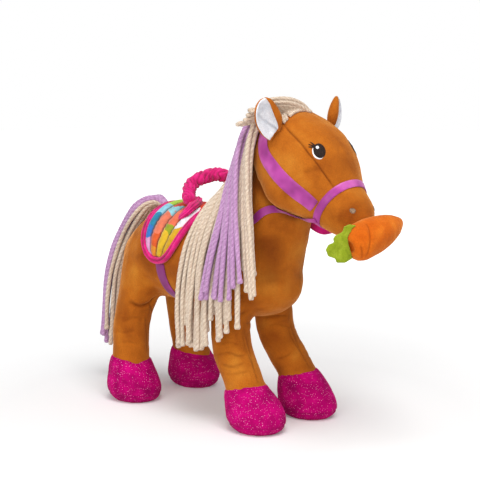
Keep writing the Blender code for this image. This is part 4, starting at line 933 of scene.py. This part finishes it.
# Across from the near seat to the far one, then forward and up as shares of the rise
HANDLE_ARCH = ((0.00, 0.00, 0.00), (0.11, -0.33, 0.34), (0.20, -0.43, 0.60), (0.33, -0.32, 0.85),
               (0.49, -0.18, 1.00), (0.64, -0.05, 1.08), (0.77, 0.09, 1.01), (0.89, 0.20, 0.79),
               (0.98, 0.17, 0.43), (1.00, 0.00, 0.00))


def wall(first, rings, sides):
    """The faces round a tube whose rings of points follow each other, from the first point on."""
    faces = []
    for here in range(first, first + (rings - 1) * sides, sides):
        for n in range(sides):
            m = (n + 1) % sides
            faces.append((here + n, here + m, here + sides + m, here + sides + n))
    return faces


def tube(name, rings):
    """A closed tube through rings of points, with the middle of each end as one more point."""
    sides = len(rings[0])
    points = [p for ring in rings for p in ring]
    faces = wall(0, len(rings), sides)
    for ring, start, turn in ((rings[0], 0, -1), (rings[-1], (len(rings) - 1) * sides, 1)):
        points.append(np.mean(ring, axis=0))
        for n in range(sides):
            pair = (start + n, start + (n + 1) % sides)
            faces.append((*pair[::turn], len(points) - 1))
    return built(name, points, faces)


def framed(path, first):
    """For each point of a path, two directions square to it that turn as little as they can."""
    tangents = np.gradient(path, axis=0)
    tangents /= np.linalg.norm(tangents, axis=1)[:, None]
    wide = np.array(first, float)
    frames = []
    for tangent in tangents:
        wide = unit(wide - np.dot(wide, tangent) * tangent)
        frames.append((wide, np.cross(tangent, wide)))
    return frames


def make_handle():
    spots = [HANDLE_NEAR + (HANDLE_FAR - HANDLE_NEAR) * across + np.array((forward, 0.0, up)) * HANDLE_RISE
             for across, forward, up in HANDLE_ARCH]
    path = resampled(spots, 0.7 * MM)
    length = len(path)
    rings, fold_shades = [], []
    for k, (point, (wide, deep)) in enumerate(zip(path, framed(path, (1.0, 0.0, 0.0)))):
        s = k / (length - 1)
        end = min(s, 1 - s)
        swell = 0.86 + 0.14 * min(1.0, end * 9)
        cap = math.sqrt(max(0.0, 1 - max(0.0, 1 - end * length / 6) ** 2)) * 0.75 + 0.25
        ring = []
        for turn in turns(40):
            wander = noise.noise(Vector((math.cos(turn), math.sin(turn), s * 9))) * 0.9
            gather = s * 16 + 1.25 * math.sin(turn + 1.2) + wander
            ridge = abs(math.sin(math.pi * gather)) ** 0.7
            fine = abs(math.sin(math.pi * (gather * 2.3 + 0.4 * math.sin(2 * turn)))) ** 0.8
            height = 2.1 * MM * (ridge - 0.72) + 0.4 * MM * (fine - 0.6)
            radius = (HANDLE_RADIUS * swell + height) * cap
            ring.append(point + (wide * math.cos(turn) + deep * math.sin(turn)) * radius)
            # Painted shade in the gathers, between the ridges
            fold_shades.append(max(0.0, 0.55 - ridge) * 0.8)
        rings.append(ring)
    made = tube("handle_cloth", rings)
    set_attribute(made, "fold_shade", np.array(fold_shades + [0.2, 0.2]))
    finish_piece(made, PINK, "handle", "handle_sleeve", "handle_core", slot="piping_cloth")


make_handle()

# The gathered end of the sleeve, folded back and sewn to the pad: pixels of the photograph's
# frame, then its half width, half thickness and height over the pad in mm
TUCK_PIXELS = ((199.0, 202.2), (197.0, 205.8), (192.5, 210.0), (186.5, 214.8), (179.5, 219.6))
TUCK_SIZES = ((5.0, 4.2, 4.4), (6.2, 4.6, 4.2), (5.6, 4.0, 3.2), (4.8, 3.2, 2.4), (3.0, 2.2, 1.6))
# The far seat lies further round the barrel than the near one
SEAT_EXTRA_TURN = math.radians(11.3)


def make_tuck(hand):
    seats = cast(tree_of(pad), TUCK_PIXELS)
    rows = [[*spot, *(np.array(sizes) * MM)] for spot, sizes in zip(seats, TUCK_SIZES)]
    rows = resampled(rows, 0.8 * MM)
    path = rows[:, :3]
    path = path + np.array([unit(p - (p[0], MIDDLE_Y, AXIS_Z)) for p in path]) * rows[:, 5:6]
    if hand == "left":
        path = mirrored(path)
        across, up = path[:, 1] - MIDDLE_Y, path[:, 2] - AXIS_Z
        cos, sin = math.cos(SEAT_EXTRA_TURN), math.sin(SEAT_EXTRA_TURN)
        path[:, 1], path[:, 2] = MIDDLE_Y + across * cos + up * sin, AXIS_Z + up * cos - across * sin
    out = (path - (0, MIDDLE_Y, AXIS_Z)) * (0, 1, 1)
    tangents = np.gradient(path, axis=0)
    rings, fold_shades = [], []
    for k, (point, tangent, away) in enumerate(zip(path, tangents, out)):
        tangent = unit(tangent)
        away = unit(away - np.dot(away, tangent) * tangent)
        side = np.cross(tangent, away)
        s = k / (len(path) - 1)
        cap = math.sqrt(max(0.05, 1 - max(0.0, 1 - s / 0.14) ** 2))
        cap *= math.sqrt(max(0.2, 1 - max(0.0, s / 0.1 - 9) ** 2))
        ring = []
        for turn in turns(36):
            pleat = abs(math.sin(4.0 * turn + 1.5 * noise.noise(Vector((s * 5, turn, 2.0)))))
            grow = cap * (1 + 0.30 * (pleat - 0.6))
            spoke = side * math.cos(turn) * rows[k, 3] + away * math.sin(turn) * rows[k, 4]
            ring.append(point + spoke * grow)
            # Painted shade between the pleats
            fold_shades.append(max(0.0, 0.5 - pleat) * 0.8)
        rings.append(ring)
    made = tube("handle_gather_" + hand, rings)
    set_attribute(made, "fold_shade", np.array(fold_shades + [0.2, 0.2]))
    finish_piece(made, PINK, "horse", "handle_tuck_" + hand, slot="piping_cloth")


for hand in ("right", "left"):
    make_tuck(hand)

# ------------------------------------------------------------------ yarn

YARN_RADIUS = 2.45 * MM
YARN_TURN = 17.0 * MM
# A strand's rings are this far apart, with this many points each
YARN_STEP, YARN_SIDES = 1.9 * MM, 12


class Yarn:
    """Gathers strands of one lock into one mesh."""

    def __init__(self, name, seed):
        self.name, self.random = name, np.random.default_rng(seed)
        self.points, self.faces, self.fibre, self.ply = [], [], [], []

    def strand(self, spots, radius, clear):
        """Adds one twisted strand along a smooth route, kept clear of the skin."""
        start_turn = self.random.uniform(0, 2 * math.pi)
        drift = self.random.uniform(0, 50)
        path = kept_off(resampled(spots, YARN_STEP), radius + clear)
        count = len(path)
        base = len(self.points)
        flare = self.random.uniform(1.12, 1.4)
        for k, (point, (wide, deep)) in enumerate(zip(path, framed(path, (0.7, 0.3, 0.65)))):
            s, left = k * YARN_STEP, (count - 1 - k) * YARN_STEP
            twist = start_turn + 2 * math.pi * s / YARN_TURN
            size = radius * (1 + 0.05 * math.sin(s / MM / 9 + drift))
            size *= 1 + (flare - 1) * math.exp(-((left - 1 * MM) / (3.5 * MM)) ** 2)
            if k == count - 1:
                size *= 0.72
            if k == 0:
                size *= 0.6
            for turn in turns(YARN_SIDES):
                ply = abs(math.cos(1.5 * (turn - twist))) ** 0.8
                fuzz = noise.noise(Vector((math.cos(turn), math.sin(turn), s / MM / 3.0)) * 1.4
                                   + Vector((drift, 0, 0)))
                grown = size * (0.92 + 0.09 * ply + 0.09 * fuzz)
                self.points.append(point + (wide * math.cos(turn) + deep * math.sin(turn)) * grown)
                self.fibre.append((math.cos(turn - twist), math.sin(turn - twist), s / MM / 5 + drift))
                # The ply value is lower between the plies, where it paints shade into the colour
                self.ply.append(0.17 + 0.20 * ply)
        self.faces += wall(base, count, YARN_SIDES)
        self.faces.append(tuple(range(base, base + YARN_SIDES))[::-1])
        self.faces.append(tuple(range(len(self.points) - YARN_SIDES, len(self.points))))

    def piece(self, material, body, *replaced, slot):
        made = built(self.name, self.points, self.faces)
        set_attribute(made, "fibre", np.array(self.fibre))
        set_attribute(made, "ply", np.array(self.ply))
        finish_piece(made, material, body, *replaced, slot=slot)


def kept_off(path, distance):
    """The path, with each point that is nearer the skin than the distance moved out to it."""
    moved = []
    for point in path:
        hit, normal, _, _ = body_tree.find_nearest(Vector(point))
        away = (point - np.array(hit)) @ np.array(normal)
        if away < distance:
            point = np.array(hit) + np.array(normal) * distance
        moved.append(point)
    return relaxed(np.array(moved), 3)


MANE_SPREAD, MANE_REACH, MANE_TOP = 103 * MM, 62 * MM, 322 * MM
# Down the rear, middle and front of the mane: fall, then forward, to the right, and height
MANE_GUIDES = (
    ((0.00, 0.534, 0.13, 0.789), (0.10, 0.450, 0.39, 0.757), (0.25, 0.262, 0.70, 0.690),
     (0.42, 0.088, 0.92, 0.585), (0.60, 0.000, 0.98, 0.470), (0.80, -0.029, 1.00, 0.348),
     (1.00, -0.029, 1.00, 0.224)),
    ((0.00, 0.641, 0.13, 0.932), (0.10, 0.631, 0.38, 0.879), (0.25, 0.621, 0.63, 0.786),
     (0.42, 0.583, 0.82, 0.658), (0.60, 0.534, 0.94, 0.528), (0.80, 0.515, 1.00, 0.373),
     (1.00, 0.515, 1.00, 0.224)),
    ((0.00, 0.845, 0.11, 1.000), (0.10, 0.854, 0.50, 0.972), (0.25, 0.883, 0.79, 0.887),
     (0.42, 0.883, 0.82, 0.745), (0.60, 0.942, 0.85, 0.590), (0.80, 1.039, 0.92, 0.404),
     (1.00, 1.078, 0.98, 0.224)),
)


def mane_point(u, t, lift=0.0):
    """A point of the mane: u runs along the crest and t down the fall; lift is outwards."""
    def flat(u, t):
        table = [(key, *row_at(guide, t)) for key, guide in zip((0.0, 0.5, 1.0), MANE_GUIDES)]
        forward, right, up = row_at(table, u)
        return np.array((forward * MANE_SPREAD, -right * MANE_REACH, up * MANE_TOP)) + SHIFT

    step = 0.02
    along = flat(min(u + step, 1.0), t) - flat(max(u - step, 0.0), t)
    down = flat(u, min(t + step, 1.0)) - flat(u, max(t - step, 0.0))
    return flat(u, t) + unit(np.cross(down, along)) * lift


def make_lock(name, crest, hem, fall, lift, counts, material, slot, seed, ragged):
    """Strands between two places on the crest, spread between two on the hem, in rows from the top."""
    yarn = Yarn(name + "_strands", seed)
    for row, across in enumerate(counts):
        for k in range(across):
            place = (k + 0.5 + 0.25 * (-1) ** row + yarn.random.uniform(-0.28, 0.28)) / across
            place = min(max(place, 0.0), 1.0)
            top, bottom = (ends[0] + (ends[1] - ends[0]) * place for ends in (crest, hem))
            reach = fall * (1 - yarn.random.uniform(0, ragged * (1 + 1.5 * row)))
            sway = yarn.random.uniform(-0.014, 0.014)
            phase = yarn.random.uniform(0, 6)
            height = lift + (0.9 - 1.85 * row) * YARN_RADIUS + yarn.random.uniform(-0.7, 0.7) * MM
            thick = YARN_RADIUS * yarn.random.uniform(0.9, 1.1)
            spots = []
            for t in np.linspace(0.0, reach, 17):
                u = top + (bottom - top) * t / reach + sway * t + 0.007 * math.sin(phase + 8 * t) * t
                spots.append(mane_point(min(max(u, 0.0), 1.0), t,
                                        height + 0.9 * MM * math.sin(phase * 2 + 10 * t) * t))
            yarn.strand(spots, radius=thick, clear=0.3 * MM)
    yarn.piece(material, "mane", name, slot=slot)


# Each lock: its ends on the crest and on the hem, its fall, its lift off the skin and its strands
# in each row, from the top
for name, crest, hem, fall, lift, counts, material, slot, seed, ragged in (
        ("mane_rear", (0.00, 0.43), (0.00, 0.43), 1.00, 0.0, (8, 8), CREAM, "cream_yarn", 11, 0.06),
        ("mane_middle", (0.43, 0.80), (0.43, 0.80), 0.93, 0.0, (6, 7), CREAM, "cream_yarn", 12, 0.10),
        ("mane_front", (0.80, 1.00), (0.84, 1.00), 0.79, 0.0, (3, 3), CREAM, "cream_yarn", 13, 0.06),
        ("mane_lilac", (0.56, 0.84), (0.32, 0.92), 0.78, 3.0 * YARN_RADIUS, (7, 3), LILAC,
         "lilac_yarn", 14, 0.10)):
    make_lock(name, crest, hem, fall, lift, counts, material, slot, seed, ragged)
make_rein()

# Along the tuft: forward, to the right and up from the crown, then half width
TUFT_CROWN, TUFT_LENGTH, TUFT_WIDTH = (97.7, 0.5, 315.8), 80 * MM, 34 * MM
# Where the tuft is sewn on, from the top of the head to the near ear, as pixels
TUFT_ROOTS = ((312.5, 113.5), (307, 112), (301, 112.3), (295, 114.5), (288.5, 119.5), (284, 125))
TUFT_TABLE = ((0.00, 0.020, -0.160, 0.012, 0.20), (0.25, -0.045, 0.000, 0.044, 0.38),
              (0.50, -0.130, 0.250, 0.052, 0.50), (0.75, -0.245, 0.525, 0.020, 0.50),
              (1.00, -0.345, 0.775, -0.030, 0.44))


def make_tuft():
    crown = np.array(TUFT_CROWN) * MM
    roots = cast(head_tree, TUFT_ROOTS)
    roots = [(k / (len(roots) - 1), *root) for k, root in enumerate(roots)]
    start = np.array((TUFT_TABLE[0][1], -TUFT_TABLE[0][2], TUFT_TABLE[0][3])) * TUFT_LENGTH + crown
    yarn = Yarn("crown_tuft_strands", 21)
    for row, across in enumerate((10, 9)):
        for k in range(across):
            place = (k + 0.5 + yarn.random.uniform(-0.25, 0.25)) / across
            spread = 1 - 2 * place
            reach = 0.94 - yarn.random.uniform(0, 0.16)
            bend = yarn.random.uniform(-3.0, 2.0) * MM
            thick = YARN_RADIUS * yarn.random.uniform(0.70, 0.84)
            root = np.array(row_at(roots, place)) - start
            spots = []
            for t in np.linspace(0.0, reach, 14):
                forward, right, up, half = row_at(TUFT_TABLE, t)
                point = crown + np.array((forward, -right, up)) * TUFT_LENGTH
                stay = max(0.0, 1 - t / 0.75) ** 1.5
                fan = np.array((0.75, 0.1, 0.66)) * spread * half * TUFT_WIDTH * (1 - stay)
                rise = (0.9 - 1.3 * row) * YARN_RADIUS * min(1.0, t * 6) + bend * t
                spots.append(point + root * stay + fan + np.array((0.0, 0.0, rise)))
            yarn.strand(spots, radius=thick, clear=-0.4 * MM)
    yarn.piece(CREAM, "horse", "crown_tuft", slot="cream_yarn")


make_tuft()

TAIL_ROOT = np.array((-108.28, 0.47, 212.61)) * MM
TAIL_BACK, TAIL_DROP, TAIL_WIDTH = 89.5 * MM, 170 * MM, 32 * MM
# Along the tail: back and up from the root, then half width
TAIL_TABLE = ((0.000, 0.000, 0.18), (0.070, 0.018, 0.26), (0.200, 0.010, 0.42), (0.380, -0.076, 0.50),
              (0.545, -0.170, 0.50), (0.710, -0.300, 0.50), (0.835, -0.456, 0.50), (0.930, -0.686, 0.50),
              (1.000, -1.000, 0.47))


def make_tail(name, side, material, slot, seed):
    rows = [(-back * TAIL_BACK, 0.0, up * TAIL_DROP, half) for back, up, half in TAIL_TABLE]
    guide = resampled(rows, 9 * MM)
    path, halves = guide[:, :3] + TAIL_ROOT, guide[:, 3] * TAIL_WIDTH
    tangents = np.gradient(path, axis=0)
    yarn = Yarn(name + "_strands", seed)
    for row in range(2):
        for k in range(6):
            spread = ((k + 0.5 * (row % 2) + yarn.random.uniform(-0.2, 0.2)) / 5.5) * 2 - 1
            last = len(path) - int(yarn.random.integers(0, 3))
            phase = yarn.random.uniform(0, 6)
            sideways = np.array((0.0, 1.0, 0.0))
            lead = np.array((7.0, 0.0, -4.5 if side > 0 else -5.5)) * MM
            spots = [TAIL_ROOT + lead + sideways * spread * 2.2 * MM]
            for k2 in range(1, last):
                outward = unit(np.cross((0.0, 1.0, 0.0), tangents[k2]))
                outward *= math.copysign(1.0, outward[2] - outward[0])
                wave = 0.8 * MM * math.sin(phase + k2 * 0.55) * min(1.0, k2 / 6)
                gathered = 1 - 0.55 * max(0.0, 1 - (k2 - 1) / 3)
                height = side * (0.4 * MM + (1.0 + 1.55 * row) * YARN_RADIUS) * gathered
                spots.append(path[k2] + outward * height + sideways * (spread * halves[k2] * gathered + wave))
            yarn.strand(spots, radius=YARN_RADIUS * 0.95, clear=0.2 * MM)
    yarn.piece(material, "tail", name, slot=slot)


make_tail("tail_lilac", 1, LILAC, "lilac_yarn", 31)
make_tail("tail_cream", -1, CREAM, "cream_yarn", 32)
binding = softened(copies("tail_binding", "tail_knot"), 0.8, 2)
points = points_of(binding)
turns = np.sin((points[:, 0] - TAIL_ROOT[0]) / MM * 2.4)
set_points(binding, TAIL_ROOT + (points - TAIL_ROOT) * (0.66 + 0.04 * turns)[:, None])
# Painted shade in the grooves between the binding's turns, and painted light on its swells
set_attribute(binding, "ply", 0.4 + 0.2 * turns)
finish_piece(binding, LILAC, "tail_root", "tail_knot", slot="lilac_yarn")
tape = soft_edged("mane_binding", "mane_tape", 1)
finish_piece(tape, PLUSH, "horse", "mane_tape", slot="plush", smooth=40)

# ------------------------------------------------------------------ carrot

# The carrot's dart lines, as pixels, each with its width and depth in mm and the darkness of the painted
# shade along it
CARROT_LINES = (
    (((366, 223), (369.5, 230), (370.5, 240), (369, 250), (366, 257)), 1.3, 0.8, 0.6),
    (((360.5, 246), (362, 252), (362, 259)), 1.3, 0.9, 0.6),
)
carrot = softened(copies("carrot_plush", "carrot", "stuffing_carrot"), 1.3, 7)
roughen(carrot, 6.0, (18.0, 0.6), (7.0, 0.15))
drawn_in(carrot, CARROT_LINES, both_sides=False)
finish_piece(carrot, CARROT_PLUSH, "carrot", "carrot", "stuffing_carrot", slot="carrot_cloth")
leaf = softened(copies("leaf_plush", "carrot_leaf"), 0.7, 4)
roughen(leaf, 9.0, (9.0, 0.5), (4.0, 0.12))
finish_piece(leaf, LEAF_FELT, "carrot", "carrot_leaf", slot="leaf_cloth")

# ------------------------------------------------------------------ floor and light


def make_floor():
    bpy.ops.mesh.primitive_plane_add(size=12.0)
    floor = bpy.context.active_object
    floor.name = "floor"
    made, tree, place = new_material("pale studio floor", Base_Color=linear("#F0F0F0"), Roughness=0.9,
                                     Specular_IOR_Level=0.1)
    # White paper that runs off into the backdrop: it glows to the camera more with the distance
    # from the toy, so that the toy's shadow stays
    reach = add(tree, "VectorMath", {0: place}, operation="LENGTH").outputs["Value"]
    level = add(tree, "MapRange", {"Value": reach, "From Min": 0.25, "From Max": 1.1,
                                   "To Min": 0.10, "To Max": 0.75})
    seen = add(tree, "LightPath").outputs["Is Camera Ray"]
    dim = add(tree, "Math", {0: seen, 1: level}, operation="MULTIPLY")
    glow = add(tree, "Emission", {"Color": (1.0, 1.0, 1.0, 1.0), "Strength": dim})
    both = add(tree, "AddShader", {0: tree.nodes["Principled BSDF"], 1: glow})
    tree.links.new(first_output(both), tree.nodes["Material Output"].inputs["Surface"])
    floor.data.materials.append(made)
    choose()


def make_light():
    world = bpy.data.worlds.new("studio")
    world.use_nodes = True
    tree = world.node_tree
    # The backdrop looks white, and gives less light than it shows
    seen = add(tree, "LightPath").outputs
    direct = seen["Is Camera Ray"]
    for kind in ("Is Glossy Ray", "Is Transmission Ray"):
        direct = add(tree, "Math", {0: direct, 1: seen[kind]}, operation="MAXIMUM")
    level = add(tree, "MapRange", {"Value": direct, "To Min": 0.42, "To Max": 1.0})
    tree.links.new(first_output(level), tree.nodes["Background"].inputs["Strength"])
    tree.nodes["Background"].inputs["Color"].default_value = (1.0, 1.0, 1.0, 1.0)
    scene.world = world
    for name, place, size, power in (("softbox", (0.7, -0.4, 1.9), 1.1, 26.0),
                                     ("fill", (0.9, -1.8, 0.6), 1.4, 20.0)):
        data = bpy.data.lights.new(name, "AREA")
        data.size, data.energy = size, power
        lamp = bpy.data.objects.new(name, data)
        lamp.location = place
        lamp.rotation_euler = (Vector((0.0, 0.0, 0.16)) - Vector(place)).to_track_quat("-Z", "Y").to_euler()
        scene.collection.objects.link(lamp)


make_floor()
make_light()
scene.view_settings.view_transform = "Standard"
